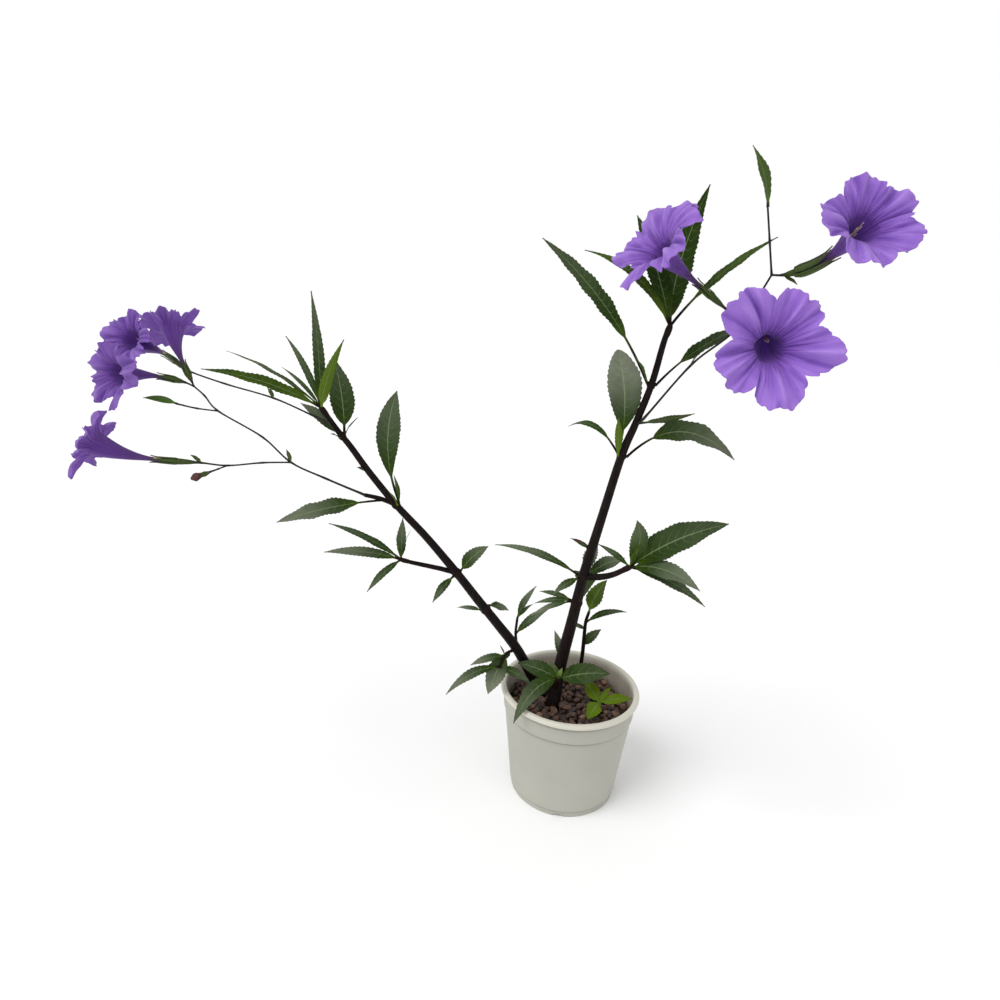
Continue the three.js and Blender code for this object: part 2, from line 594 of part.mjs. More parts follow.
// The corolla: a narrow tube and a funnel with five soft folds, in rows of share of the
// length, radius and slope, then five lobes that spread and curl back, cleft between
// them, notched at their tips and waved at their edges. Narrow lobes are cleft deeper.
const tubeRows = [[0, tubeRadius, 0], [0.33, 1.5, 4], [0.64, 4, 19], [1, mouthRadius, mouthAngle]];
const funnelFold = 0.05;
const lobeRows = [0.5, 1];
const cleftDepth = 0.36;
const narrowCleft = 0.34;
const narrowFrom = 0.1;
const narrowTo = 0.7;
const tipNotch = 0.08;
const lobeWave = 1.8;
const waveJitter = 0.6;
function corolla(flower) {
  const axis = flowerAxis(flower);
  const length = axis(0).length;
  const spin = radians(flower.spin);
  const start = radians(mouthAngle);
  const rows = tubeRows.map(([share, radius, slope]) => (
    petalRing(axis(Math.max(gap, share * length)), petalSides, (angle) => ({
      turn: spin, radius: radius * (1 + funnelFold * share * Math.cos(lobes * angle)),
      height: 0, slope: radians(slope),
    }))
  ));
  lobeRows.forEach((share) => {
    rows.push(petalRing(axis(length), petalSides, (angle, j) => {
      const [turn, long, curl, narrow] = lobeAt(flower.petals, angle);
      const sweep = radians(curl) - start;
      const bend = long / sweep;
      const side = Math.abs(((angle * lobes) / Math.PI) % 2 - 1);
      const notch = side < 0.1 ? tipNotch : 0;
      const drop = THREE.MathUtils.lerp(side ** 3, THREE.MathUtils.smoothstep(side, narrowFrom, narrowTo), narrow);
      const slope = start + sweep * share * (1 - (cleftDepth + narrowCleft * narrow) * drop - notch);
      const jitter = waveJitter * (drawn(j + flower.spin) - 0.5);
      const wave = lobeWave * share ** 2 * (Math.cos(2 * lobes * angle) + jitter);
      return {
        turn: spin + share * radians(turn),
        radius: mouthRadius + bend * (Math.cos(start) - Math.cos(slope)),
        height: bend * (Math.sin(slope) - Math.sin(start)) + wave,
        slope,
      };
    }));
  });
  return sheet(rows.map((row) => row.front), rows.map((row) => row.back), true);
}

// The calyx: five narrow sepals rooted in the end of the stalk. Each row gives its
// radius round the flower's axis and its share of the sepal's full width.
const sepals = 5;
const sepalWidth = 2.4;
const sepalRoot = 1.6;
const sepalRows = [[1.7, 0.7], [2.4, 1], [2.6, 0.3]];
function calyx(flower) {
  const axis = flowerAxis(flower);
  const distances = [-sepalRoot, gap, tubeRows[1][0] * axis(0).length];
  return Array.from({ length: sepals }, (_, k) => {
    const angle = (2 * Math.PI * k) / sepals;
    const lines = sepalRows.map(([radius, share], i) => {
      const ring = axis(distances[i]);
      const out = mixed(ring.beside, Math.cos(angle), ring.across, Math.sin(angle));
      const along = mixed(ring.across, Math.cos(angle), ring.beside, -Math.sin(angle));
      return [0.5, -0.5].map((face) => [-0.5, 0.5].map((side) => ring.centre.clone()
        .addScaledVector(out, radius + face * bladeThickness)
        .addScaledVector(along, side * sepalWidth * share)));
    });
    return sheet(lines.map((line) => line[0]), lines.map((line) => line[1]), false);
  });
}

function sprayBody(spray) {
  const rods = spray.stems.map((name) => stemRod(name));
  const cups = Object.values(flowers).filter((flower) => spray.stems.includes(flower.stalk)).flatMap(calyx);
  const blades = spray.leaves.map(([name, at, shape]) => blade(station(name, at).centre, shape));
  return mainBody(cut(joined([...rods, ...blades, ...cups]), spray.cutBy.map((name) => stemRod(name, gap))));
}

// A solid turned about the upright axis from radius and height pairs
function turned(profile) {
  const outline = profile.map(([radius, height]) => new THREE.Vector2(radius, height));
  return solidOf(new THREE.LatheGeometry(outline, potSides).rotateX(Math.PI / 2));
}

// The pot: a turned shell with a rolled rim, a collar band, and a foot ring that is
// notched in four places round a floor with drain holes and a flat centre pad
const bandFoot = potHeight - collarHeight;
const innerFoot = [footRadius - wall + 0.4, floorHeight + 3];
const innerShoulder = [shoulderRadius - wall, bandFoot];
function potBody() {
  const profile = [
    [0, 0], [centrePadRadius, 0], [centrePadRadius, footRecess], [footRadius - 4, footRecess],
    [footRadius - 3.6, 0], [footRadius - 0.6, 0], [footRadius - 0.4, footHeight - 0.5],
    [footRadius + 0.4, footHeight], [shoulderRadius, bandFoot], [shoulderRadius + 0.9, bandFoot + 0.6],
    [rimRadius - 3, potHeight - 5.2], [rimRadius - 0.8, potHeight - 4.4], [rimRadius, potHeight - 2.4],
    [rimRadius - 0.9, potHeight - 0.6], [rimRadius - 2.6, potHeight], [rimRadius - 4.7, potHeight - 1.6],
    innerShoulder, innerFoot, [footRadius - wall - 2, floorHeight], [0, floorHeight],
  ];
  const notches = Array.from({ length: notchCount }, (_, i) => {
    const box = new THREE.BoxGeometry(notchWidth, notchDepth, 2 * footRecess);
    box.translate(0, footRadius, 0).rotateZ((2 * Math.PI * i) / notchCount);
    return solidOf(box);
  });
  const drains = Array.from({ length: drainCount }, (_, i) => {
    const hole = new THREE.CylinderGeometry(drainRadius, drainRadius, 3 * floorHeight, drainSides);
    hole.rotateX(Math.PI / 2).translate(drainCircle, 0, floorHeight);
    return solidOf(hole.rotateZ((2 * Math.PI * (i + 0.5)) / drainCount));
  });
  return cut(turned(profile), [...notches, ...drains]);
}

// The room inside the pot between two heights, a gap clear of its wall
function potRoom(low, high) {
  const innerAt = (height) => {
    const share = (height - innerFoot[1]) / (innerShoulder[1] - innerFoot[1]);
    return THREE.MathUtils.lerp(innerFoot[0], innerShoulder[0], share) - gap;
  };
  return turned([[0, low], [innerAt(low), low], [innerAt(high), high], [0, high]]);
}

const grownStems = () => ['right', 'left', 'back', 'seedling'].map((name) => stemRod(name, gap));

// The potting mix fills the pot from its floor, with a plain hole for each stem
function soilBody() {
  const low = floorHeight + gap;
  const foot = turned([
    [0, low], [innerFoot[0] - 3, low], [innerFoot[0] - 0.4, innerFoot[1] + gap], [0, innerFoot[1] + gap],
  ]);
  return mainBody(cut(potRoom(innerFoot[1], soilTop).add(foot), grownStems()));
}

// Pebbles as a bed of stones raised by a rule: on a lattice of triangles every third
// point is the top of a stone and the six points round it are hollows
const stoneDip = 0.4;
const hollowRise = 0.15;
const latticeJitter = 0.3;
function gravelBody() {
  const step = pebblePitch / Math.sqrt(3);
  const reach = Math.ceil((1.2 * rimRadius) / step);
  const point = (i, j) => {
    const onStone = (((i - j) % 3) + 3) % 3 === 0;
    const seed = i * 31 + j * 7;
    const rise = onStone ? 1 - stoneDip * drawn(seed) : hollowRise * drawn(seed);
    return vector(
      (j + 0.5 * i + latticeJitter * (drawn(seed + 3) - 0.5)) * step,
      (i * Math.sqrt(0.75) + latticeJitter * (drawn(seed + 5) - 0.5)) * step,
      gravelTop + pebbleRise * rise,
    );
  };
  const front = [];
  const back = [];
  for (let i = -reach; i <= reach; i++) {
    const first = -reach - Math.round(i / 2);
    const row = Array.from({ length: 2 * reach + 1 }, (_, k) => point(i, first + k));
    front.push(row);
    back.push(row.map((top) => top.clone().setZ(soilTop - 2)));
  }
  const room = potRoom(soilTop + gap, gravelTop + 2 * pebbleRise);
  return mainBody(cut(sheet(front, back, false).intersect(room), grownStems()));
}

// The withered bloom on its stalk, a small crumpled bag in rows of distance and radius
const spentSides = 6;
const spentRows = [[0, 1.2], [3, 2.4], [6, 1.7], [9, 2.6], [12, 1]];
function spentBloom() {
  return rod(spentRows.map(([past, radius]) => {
    const place = station('leftSpentStalk', stems.leftSpentStalk.length - 1, gap + past);
    return ringAt(place, radius, spentSides);
  }));
}

const plant = new THREE.Group();
function include(name, solid, material) {
  const mesh = new THREE.Mesh(geometryOf(solid), material);
  mesh.name = name;
  plant.add(mesh);
}

include('pot', potBody(), potPlastic);
include('potting_mix', soilBody(), pottingSoil);
include('gravel', gravelBody(), gravelStone);
const rodsOf = (names) => joined(names.map((name) => stemRod(name)));
include('right_stem', rodsOf(['right', 'rightBranch']), stemBark);
include('left_stem', rodsOf(['left', 'leftLowBranch', 'leftHighBranch']), stemBark);
Object.entries(whorls).forEach(([name, whorl]) => include(name, whorlBody(whorl), darkLeaf));
Object.entries(shoots).forEach(([name, shoot]) => {
  include(name, shootBody(shoot), name === 'seedling' ? freshLeaf : darkLeaf);
});
Object.entries(sprays).forEach(([name, spray]) => include(name, sprayBody(spray), stalkGreen));
Object.entries(flowers).forEach(([name, flower]) => include(name, corolla(flower), petalViolet));
include('spent_bloom', spentBloom(), witheredBrown);

export default plant;
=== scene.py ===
"""Looks of a flowering ruellia in its nursery pot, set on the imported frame.

Sizes are millimetres, as on the plant, until a mesh is made, which is in metres. The
origin is the middle of the pot's underside, +Z is up and -Y is the front.
"""

import math

import bpy
import numpy as np
from mathutils import Matrix, Vector


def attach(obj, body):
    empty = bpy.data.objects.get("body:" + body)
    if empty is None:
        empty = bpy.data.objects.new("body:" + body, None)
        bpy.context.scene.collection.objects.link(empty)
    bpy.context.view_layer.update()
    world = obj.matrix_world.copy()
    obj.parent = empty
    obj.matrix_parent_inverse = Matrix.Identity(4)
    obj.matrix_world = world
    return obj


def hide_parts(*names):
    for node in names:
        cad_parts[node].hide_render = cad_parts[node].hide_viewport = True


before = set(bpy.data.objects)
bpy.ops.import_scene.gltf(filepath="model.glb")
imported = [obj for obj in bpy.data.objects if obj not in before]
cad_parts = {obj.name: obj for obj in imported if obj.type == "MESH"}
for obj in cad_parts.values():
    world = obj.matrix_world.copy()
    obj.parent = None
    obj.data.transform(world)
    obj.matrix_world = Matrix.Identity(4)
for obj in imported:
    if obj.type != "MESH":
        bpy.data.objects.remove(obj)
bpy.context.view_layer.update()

MM = 0.001
X, Y, Z = np.eye(3)
FULL_TURN = 2 * math.pi

# The pot and what fills it
RIM_RADIUS = 60.0
POT_HEIGHT = 100.0
FOOT_RADIUS = 46.5
FOOT_HEIGHT = 5.0
SHOULDER_RADIUS = 55.5
WALL = 2.0
COLLAR_HEIGHT = 20.0
FLOOR_HEIGHT = 4.6
FOOT_RECESS = 2.0
CENTRE_PAD_RADIUS = 8.0
NOTCH_COUNT = 4
NOTCH_WIDTH = 8.0
DRAIN_COUNT = 6
DRAIN_RADIUS = 3.5
DRAIN_CIRCLE = 36.0
DRAIN_SIDES = 24
# Width of the lines of painted shade in the pot's grooves
GROOVE_SHADE_WIDTH = 0.55
POT_SIDES = 240

# Pebbles lie in two layers on the potting mix
BED_RADIUS = 51.5
PEBBLE_LAYERS = ((80.2, 7.0), (83.4, 6.6))
PEBBLE_SIZE = 3.3

# Leaf blades and the swollen rings at the nodes
BLADE_THICKNESS = 0.5
STALK_THICKNESS = 1.5
STALK_WIDTH = 2.0
RING_SWELL = 0.65
RING_HALF = 2.4
ROOT_DEPTH = 0.8
CAP_REACH = 2.0
FRONT_TURN = 45.0
TOOTH_LENGTH = 3.2
OVAL_LEAN = 0.76
OVAL_FULLNESS = 0.9

# Flowers: tube, funnel and five lobes
LOBES = 5
TUBE_RADIUS = 1.3
MOUTH_RADIUS = 8.5
MOUTH_ANGLE = 40.0
PETAL_THICKNESS = 0.45
AXIS_PULL = 0.35
NEAR_AXIS = 0.75
TOUCH_GAP = 0.3

# Stems and stalks, each point as x, y, z and the radius there
STEMS = {
    "right": [
        (-17, -13, 60, 6.2), (-13, -8, 84, 5.8), (-10, 1, 114, 5.2), (-3, -5, 162, 4.5), (3, -12, 207, 4),
        (13, -24, 264, 3.3), (22, -36, 314, 2.9), (29, -42, 339, 2.5), (36, -50, 367, 2.2),
        (40, -58, 395, 1.9), (42, -61, 404, 1.8),
    ],
    "right_branch": [(3, -12, 207, 2.8), (16, -16, 210, 2.6), (26, -20, 215, 2.3), (36, -26, 224, 2)],
    "left": [
        (-21, 26, 62, 5), (-29, 15, 84, 4.7), (-47, -4, 129, 4.3), (-65, -10, 155, 3.9),
        (-82, -15, 178, 3.7), (-99, -22, 203, 3.4), (-122, -32, 235, 3), (-144, -42, 263, 2.7),
        (-162, -50, 289, 2.5), (-174, -56, 309, 2.3), (-182, -60, 321, 2.1), (-190, -66, 336, 1.8),
    ],
    "left_low_branch": [
        (-99, -22, 203, 2.2), (-112, -26, 207, 2), (-132, -34, 213, 1.7), (-139, -38, 216, 1.5),
    ],
    "left_high_branch": [(-144, -42, 263, 1.9), (-155, -46, 268, 1.7), (-166, -50, 271, 1.5)],
    "back": [
        (8, 46, 66, 2), (8, 42, 84, 1.9), (9, 36, 109, 1.8), (9, 32, 127, 1.7), (9, 28, 146, 1.5),
        (11, 24, 159, 1.3),
    ],
    "rosette": [(-12, -4, 97, 3), (-11, -9, 104, 2.6), (-10, -14, 112, 2.2)],
    "seedling": [(26, -12, 68, 1.5), (26, -12, 84, 1.5), (26, -12, 93, 1.6)],
    "low_twig": [(-47, -4, 129, 1.4), (-52, -14, 133, 1.3), (-56, -22, 133, 1.2), (-59, -26, 124, 1.1)],
    "high_twig": [(-47, -4, 129, 1.4), (-50, 0, 142, 1.2), (-50, 6, 154, 1.1)],
    "right_spray": [
        (29, -42, 339, 1.3), (34, -47, 344, 1.3), (58, -62, 382, 1.1), (77, -76, 403, 1.1),
        (87, -80, 421, 1), (94, -84, 438, 1),
    ],
    "right_inner_stalk": [(82, -78, 411, 1), (73, -74, 418, 1.1), (64, -71, 425, 2.3)],
    "right_front_stalk": [(77, -76, 403, 1), (80, -88, 407, 1.1), (86, -101, 410, 2.3)],
    "right_outer_stalk": [(94, -84, 438, 1), (99, -88, 438, 1.2), (106, -92, 440, 2.3)],
    "right_top_stalk": [(94, -84, 438, 1), (90, -84, 456, 0.9), (86, -84, 474, 0.9)],
    "left_spray": [
        (-164, -49, 270, 1.4), (-192, -62, 285, 1.2), (-214, -70, 297, 1.1), (-235, -70, 314, 1),
        (-269, -68, 330, 1), (-280, -66, 340, 1), (-289, -64, 346, 1),
    ],
    "left_low_stalk": [
        (-214, -70, 297, 1), (-232, -78, 297, 1), (-254, -86, 295, 1), (-270, -92, 297, 1.1),
        (-285, -97, 298, 2.3),
    ],
    "left_bud_stalk": [(-269, -68, 330, 0.9), (-282, -74, 332, 0.9), (-293, -79, 335, 1.1)],
    "left_spent_stalk": [(-254, -86, 295, 0.9), (-259, -90, 293, 0.9), (-264, -94, 291, 1.4)],
    "left_middle_stalk": [(-289, -64, 346, 1), (-293, -68, 349, 1.2), (-298, -72, 351, 2.3)],
    "left_upper_stalk": [(-289, -64, 346, 1), (-291, -63, 349, 1.2), (-294, -62, 354, 2.3)],
    "left_back_spray": [
        (-184, -61, 325, 1.2), (-201, -58, 330, 1.1), (-233, -54, 340, 1), (-274, -48, 347, 1),
        (-307, -42, 354, 1.1), (-318, -40, 360, 2.3),
    ],
}

WOODY_STEMS = {
    "right_stem": ["right", "right_branch"],
    "left_stem": ["left", "left_low_branch", "left_high_branch"],
}


def leaf(azimuth, rise, long, wide, **more):
    """A leaf's direction in degrees and its size. The rest: how high it arches and how far
    it bows aside, its stalk's share of the length, its roll, where its oval leans and how full
    that is, how fresh its green is and how much painted sheen pales its face, its twist in
    degrees, and how thick it is for its width where it is a bud."""
    shape = dict(
        azimuth=azimuth, rise=rise, long=long, wide=wide, arch=0.06 * long, bow=0.0, stalk=0.08,
        roll=FRONT_TURN * math.cos(math.radians(azimuth)), lean=OVAL_LEAN, full=OVAL_FULLNESS,
        fresh=0.1, pale=0.3, twist=0.0, bud=0.0,
    )
    shape.update(more)
    return shape


# Whorls: the stem that carries them, where along its points they sit, and the leaves
WHORLS = {
    "right_branch_leaves": ("right_branch", "tip", [
        leaf(-4, 33, 80, 24, pale=0.15), leaf(-31, -1, 57, 15, arch=7, pale=0.6),
        leaf(-8, -21, 63, 9, arch=5), leaf(-85, 78, 42, 14, bow=-5, roll=0, pale=0.6),
        leaf(159, 25, 30, 5), leaf(-59, 64, 30, 6, fresh=0.9, pale=0),
    ]),
    "right_lower_leaves": ("right", 4, [
        leaf(75, 32, 36, 11, pale=0.8), leaf(48, 6, 46, 12, pale=0.6),
        leaf(88, -50, 42, 20, arch=8, pale=0.2), leaf(172, 12, 72, 6.5, arch=6, pale=0.6),
        leaf(-142, -22, 26, 6.6, pale=0.4),
    ]),
    "right_middle_leaves": ("right", 3.45, [
        leaf(159, 0, 29, 5), leaf(165, -18, 33, 5, pale=0.4), leaf(180, -28, 36, 5, pale=0.8),
        leaf(100, -60, 38, 7, pale=0.7),
    ]),
    "right_foot_leaf": ("right", 2.2, [leaf(125, 54, 25, 7, pale=0.8)]),
    "right_bud_leaf": ("right", 4.45, [leaf(180, 26, 19, 4, fresh=-0.5)]),
    "right_upper_leaves": ("right", 6, [
        leaf(-8, 5, 73, 19, arch=19, roll=40, stalk=0.25, pale=0.5, twist=-25),
        leaf(164, 84, 73, 24, roll=-60, stalk=0.24, arch=7, bow=-8, lean=1.2, full=0.65, pale=1.0),
        leaf(-100, 62, 34, 6, fresh=1.0, pale=0),
        leaf(148, 16, 46, 5, arch=12, bow=-5, roll=-40, stalk=0.2, pale=0.1),
    ]),
    "right_top_leaves": ("right", 8, [
        leaf(-6, 40, 64, 10, stalk=0.33, pale=0.2),
        leaf(176, 49, 118, 12, stalk=0.28, arch=7, roll=-60, pale=0.2),
        leaf(-132, 48, 26, 7, stalk=0.15, fresh=0.3, pale=0.1),
    ]),
    "right_crown": ("right", "tip", [
        leaf(63, 66, 97, 17, arch=-11, bow=-10, roll=37, fresh=0.15, pale=0),
        leaf(126, 57, 82, 14, arch=3, roll=-30, fresh=0.1, pale=0),
        leaf(155, 35, 79, 7, arch=9, fresh=0.4, pale=0),
        leaf(10, 43, 82, 6, stalk=0.25, fresh=0.35, pale=0),
    ]),
    "left_middle_leaves": ("left", 3.6, [leaf(165, -7, 23, 4, pale=0.8), leaf(38, -24, 22, 8, pale=0.7)]),
    "left_lower_leaves": ("left", 5, [
        leaf(-15, 48, 35, 12, roll=70, pale=0.4), leaf(-125, -37, 27, 7, pale=0.3),
    ]),
    "left_branch_leaves": ("left_low_branch", "tip", [
        leaf(-174, 25, 63, 6), leaf(-167, 5, 60, 8, roll=-60, pale=0.8), leaf(-136, -36, 36, 6.6),
        leaf(-29, 69, 29, 4), leaf(100, 72, 33, 8, pale=0.5), leaf(150, 70, 18, 3, fresh=0.6),
    ]),
    "left_upper_leaves": ("left", 7, [
        leaf(111, 73, 85, 18, stalk=0.2, roll=0, arch=4, bow=-8, lean=1.1, pale=0.35, twist=20),
        leaf(-100, 70, 26, 4),
        leaf(-110, 50, 20, 4, fresh=0.7),
    ]),
    "left_side_leaf": ("left_high_branch", 0.7, [leaf(-152, -9, 80, 14, arch=3, stalk=0.25, pale=0.7)]),
    "left_bud_leaf": ("left", 8, [leaf(-134, 27, 11, 5)]),
    "left_top_leaves": ("left", 9.65, [
        leaf(127, 65, 57, 18, roll=-10, stalk=0.12, arch=-4, bow=3, pale=0.2), leaf(-25, 46, 20, 4),
        leaf(160, 27, 43, 8, roll=-43, bow=-1, pale=0.5), leaf(-117, 25, 10, 4),
    ]),
    "left_crown": ("left", "tip", [
        leaf(-165, 17, 83, 9, fresh=0.35, pale=0), leaf(152, 85, 79, 8, roll=-35, arch=2, lean=0.6),
        leaf(-31, 61, 56, 8, roll=-50, arch=-2, bow=5, lean=0.6, fresh=0.85, pale=0),
        leaf(161, 35, 44, 3), leaf(150, 50, 61, 5),
        leaf(174, 25, 82, 5, roll=-10, fresh=0.2),
    ]),
}

# Shoots that are green from their stem to their leaves
SHOOTS = {
    "back_shoot": (["back"], [
        ("back", 5, leaf(17, 66, 33, 14, fresh=0.5, pale=0.1)),
        ("back", 2.6, leaf(20, 45, 22, 9, fresh=0.3)),
        ("back", 4, leaf(16, 15, 38, 6, arch=5)), ("back", 3.6, leaf(160, 10, 12, 4)),
    ]),
    "rosette_shoot": (["rosette"], [
        ("rosette", 2, leaf(172, 12, 37, 14, pale=0.15)), ("rosette", 2, leaf(8, 10, 44, 18, pale=0.15)),
        ("rosette", 2, leaf(-127, -20, 56, 14, arch=12, roll=-25, pale=0.3)),
        ("rosette", 2, leaf(119, 24, 18, 6, fresh=0.3)), ("rosette", 2, leaf(60, 60, 10, 4, fresh=0.9)),
        ("rosette", 2, leaf(-80, 55, 8, 4, fresh=0.8)),
    ]),
    "seedling": (["seedling"], [
        ("seedling", 2, leaf(129, 22, 23, 12, fresh=1, pale=0)),
        ("seedling", 2, leaf(12, 8, 29, 9, fresh=1, pale=0)),
        ("seedling", 2, leaf(44, 40, 17, 5, fresh=1, pale=0)),
        ("seedling", 2, leaf(-113, -8, 23, 13, fresh=1, pale=0)),
    ]),
    "left_low_shoot": (["low_twig"], [
        ("low_twig", 2, leaf(-156, 65, 11, 2)), ("low_twig", 2, leaf(-152, -9, 30, 7, pale=0.7)),
        ("low_twig", 1.6, leaf(-128, -58, 37, 16, roll=-40, pale=0.9)),
        ("low_twig", 3, leaf(-145, -17, 50, 8, arch=7, pale=0.6)),
        ("low_twig", 3, leaf(8, -28, 30, 8, pale=0.4)), ("low_twig", 1, leaf(-120, -22, 12, 5)),
    ]),
    "left_high_shoot": (["high_twig"], [
        ("high_twig", 2, leaf(15, 64, 34, 6.6, pale=0.6)), ("high_twig", 2, leaf(-9, 51, 21, 4)),
        ("high_twig", 1, leaf(12, 42, 38, 8, pale=0.5)),
    ]),
}

# Flower stalks joined to each other, with the bracts and buds they carry
SPRAYS = {
    "right_flower_stalks": (
        ["right_spray", "right_inner_stalk", "right_front_stalk", "right_outer_stalk", "right_top_stalk"], [
            ("right_spray", 0.6, leaf(38, 5, 53, 6, arch=-1, bow=-1, roll=35, stalk=0.15)),
            ("right_spray", 2, leaf(-30, 60, 9, 3)),
            ("right_top_stalk", 2, leaf(170, 68, 34, 8, fresh=0.3)),
            ("right_outer_stalk", 1, leaf(-20, -30, 10, 3)),
        ],
    ),
    "left_flower_stalks": (
        ["left_spray", "left_low_stalk", "left_bud_stalk", "left_spent_stalk", "left_middle_stalk",
         "left_upper_stalk"], [
            ("left_spray", 2, leaf(150, 60, 10, 3)), ("left_low_stalk", 3, leaf(-160, 40, 9, 3)),
            ("left_bud_stalk", 2, leaf(-170, 8, 24, 5, fresh=0.4, pale=0, bud=0.8)),
        ],
    ),
    "left_back_stalk": (["left_back_spray"], [("left_back_spray", 2, leaf(160, 50, 9, 3))]),
}


def bloom(stalk, mouth, facing, spin, lobes, deep=0.0, stamens=0.85, calyx=1.0):
    """A flower: the stalk that carries it, the middle of its mouth and the way that faces,
    its turn about the axis, and its lobes as turn, length, curl and narrowness. Then how
    deep its violet is, how far its stamens reach as a share of the tube, and how large its
    calyx is."""
    return dict(
        stalk=stalk, mouth=np.array(mouth, float), facing=np.array(facing, float), spin=math.radians(spin),
        lobes=np.array(lobes, float), deep=deep, stamens=stamens, calyx=calyx,
    )


FLOWERS = {
    "right_inner_flower": bloom("right_inner_stalk", (31, -75, 449), (-0.73, -0.42, 0.54), 6, [
        (2, 28, 104, 0.1), (-3, 27, 95, 0.4), (-1, 30, 111, 1), (-10, 28, 117, 0.2), (-6, 26, 123, 0),
    ], deep=0.2, stamens=0.9),
    "right_front_flower": bloom("right_front_stalk", (86, -142, 400), (0.13, -0.98, 0.14), 11, [
        (1, 30, 92, 0), (4, 30, 93, 0.15), (-4, 29, 91, 0.1), (4, 30, 84, 0.4), (-3, 24, 82, 0),
    ], stamens=0.78),
    "right_outer_flower": bloom("right_outer_stalk", (128, -116, 461), (0.14, -0.89, 0.44), -15, [
        (-8, 20, 75, 0.1), (-4, 25, 86, 0.4), (6, 25, 78, 0), (6, 23, 69, 0.1), (-5, 21, 100, 0.2),
    ], deep=0.1, stamens=0.92, calyx=1.6),
    "left_low_flower": bloom("left_low_stalk", (-335, -111, 309), (-0.88, -0.24, 0.42), 24, [
        (10, 22, 160, 0.9), (1, 22, 150, 0.5), (2, 23, 133, 1), (10, 22, 150, 0.3), (0, 22, 149, 0.9),
    ], deep=0.7),
    "left_middle_flower": bloom("left_middle_stalk", (-326, -93, 355), (-0.36, -0.93, 0.02), 28, [
        (7, 18, 116, 0.2), (0, 21, 97, 0.4), (-6, 22, 76, 1), (-1, 23, 128, 0), (-3, 18, 91, 0),
    ], deep=0.75),
    "left_upper_flower": bloom("left_upper_stalk", (-306, -58, 385), (-0.33, 0.52, 0.79), 16, [
        (9, 23, 135, 0.3), (4, 16, 75, 0), (10, 15, 125, 0.3), (-2, 18, 109, 1), (-4, 19, 91, 0.7),
    ], deep=0.7),
    "left_back_flower": bloom("left_back_spray", (-363, -27, 373), (-0.18, -0.91, 0.38), 38, [
        (10, 20, 107, 0.2), (2, 19, 97, 0.2), (10, 19, 101, 0.2), (-3, 21, 111, 0.2), (-4, 17, 102, 0.5),
    ], deep=0.6),
}


# Surfaces


def unit(vectors):
    """Vectors divided by their lengths."""
    return vectors / np.linalg.norm(vectors, axis=-1, keepdims=True)


def around(sides):
    """A row of angles spread evenly over a full turn."""
    return np.arange(sides)[None, :] * FULL_TURN / sides


def smooth(value, low=0.0, high=1.0):
    """Nought below low, one above high, and an even S between: 3t^2 - 2t^3."""
    t = np.clip((value - low) / (high - low), 0, 1)
    return t * t * (3 - 2 * t)


def catmull(points, at):
    """Places and headings on a uniform Catmull-Rom curve: each span is the cubic whose end
    slopes are half the way between the neighbours of its two ends."""
    ends = np.vstack([2 * points[0] - points[1], points, 2 * points[-1] - points[-2]])
    low = np.clip(np.floor(at).astype(int), 0, len(points) - 2)
    t = (at - low)[:, None]
    before, start, stop, after = (ends[low + k] for k in range(4))
    lead, trail = 0.5 * (stop - before), 0.5 * (after - start)
    cube = 2 * (start - stop) + lead + trail
    square = 3 * (stop - start) - 2 * lead - trail
    place = start + t * (lead + t * (square + t * cube))
    return place, lead + t * (2 * square + 3 * t * cube)


class Stations:
    """Places along a line with two directions across it: across is the heading crossed with
    a reference axis, and beside is across crossed with the heading."""

    def __init__(self, centre, heading, reference, radius=0.0):
        self.centre = centre
        self.heading = unit(heading)
        self.across = unit(np.cross(self.heading, reference))
        self.beside = np.cross(self.across, self.heading)
        self.radius = radius

    def rings(self, radius, angles):
        """Rings round the line: centre + radius (beside cos a + across sin a)."""
        out = (self.beside[:, None] * np.cos(angles)[..., None]
               + self.across[:, None] * np.sin(angles)[..., None])
        return self.centre[:, None] + out * np.broadcast_to(radius, out.shape[:2])[..., None]


def along_stem(stem, at, past=0.0):
    """Stations at places counted in the stem's points, moved past by a length on the heading."""
    points = np.array(STEMS[stem], float)
    at = np.atleast_1d(np.asarray(at, float))
    centre, heading = catmull(points[:, :3], at)
    chord = unit(points[-1, :3] - points[0, :3])
    radius = np.interp(at, np.arange(len(points)), points[:, 3])
    stations = Stations(centre, heading, Z if abs(chord[1]) > NEAR_AXIS else Y, radius)
    stations.centre = stations.centre + stations.heading * np.reshape(past, (-1, 1))
    return stations


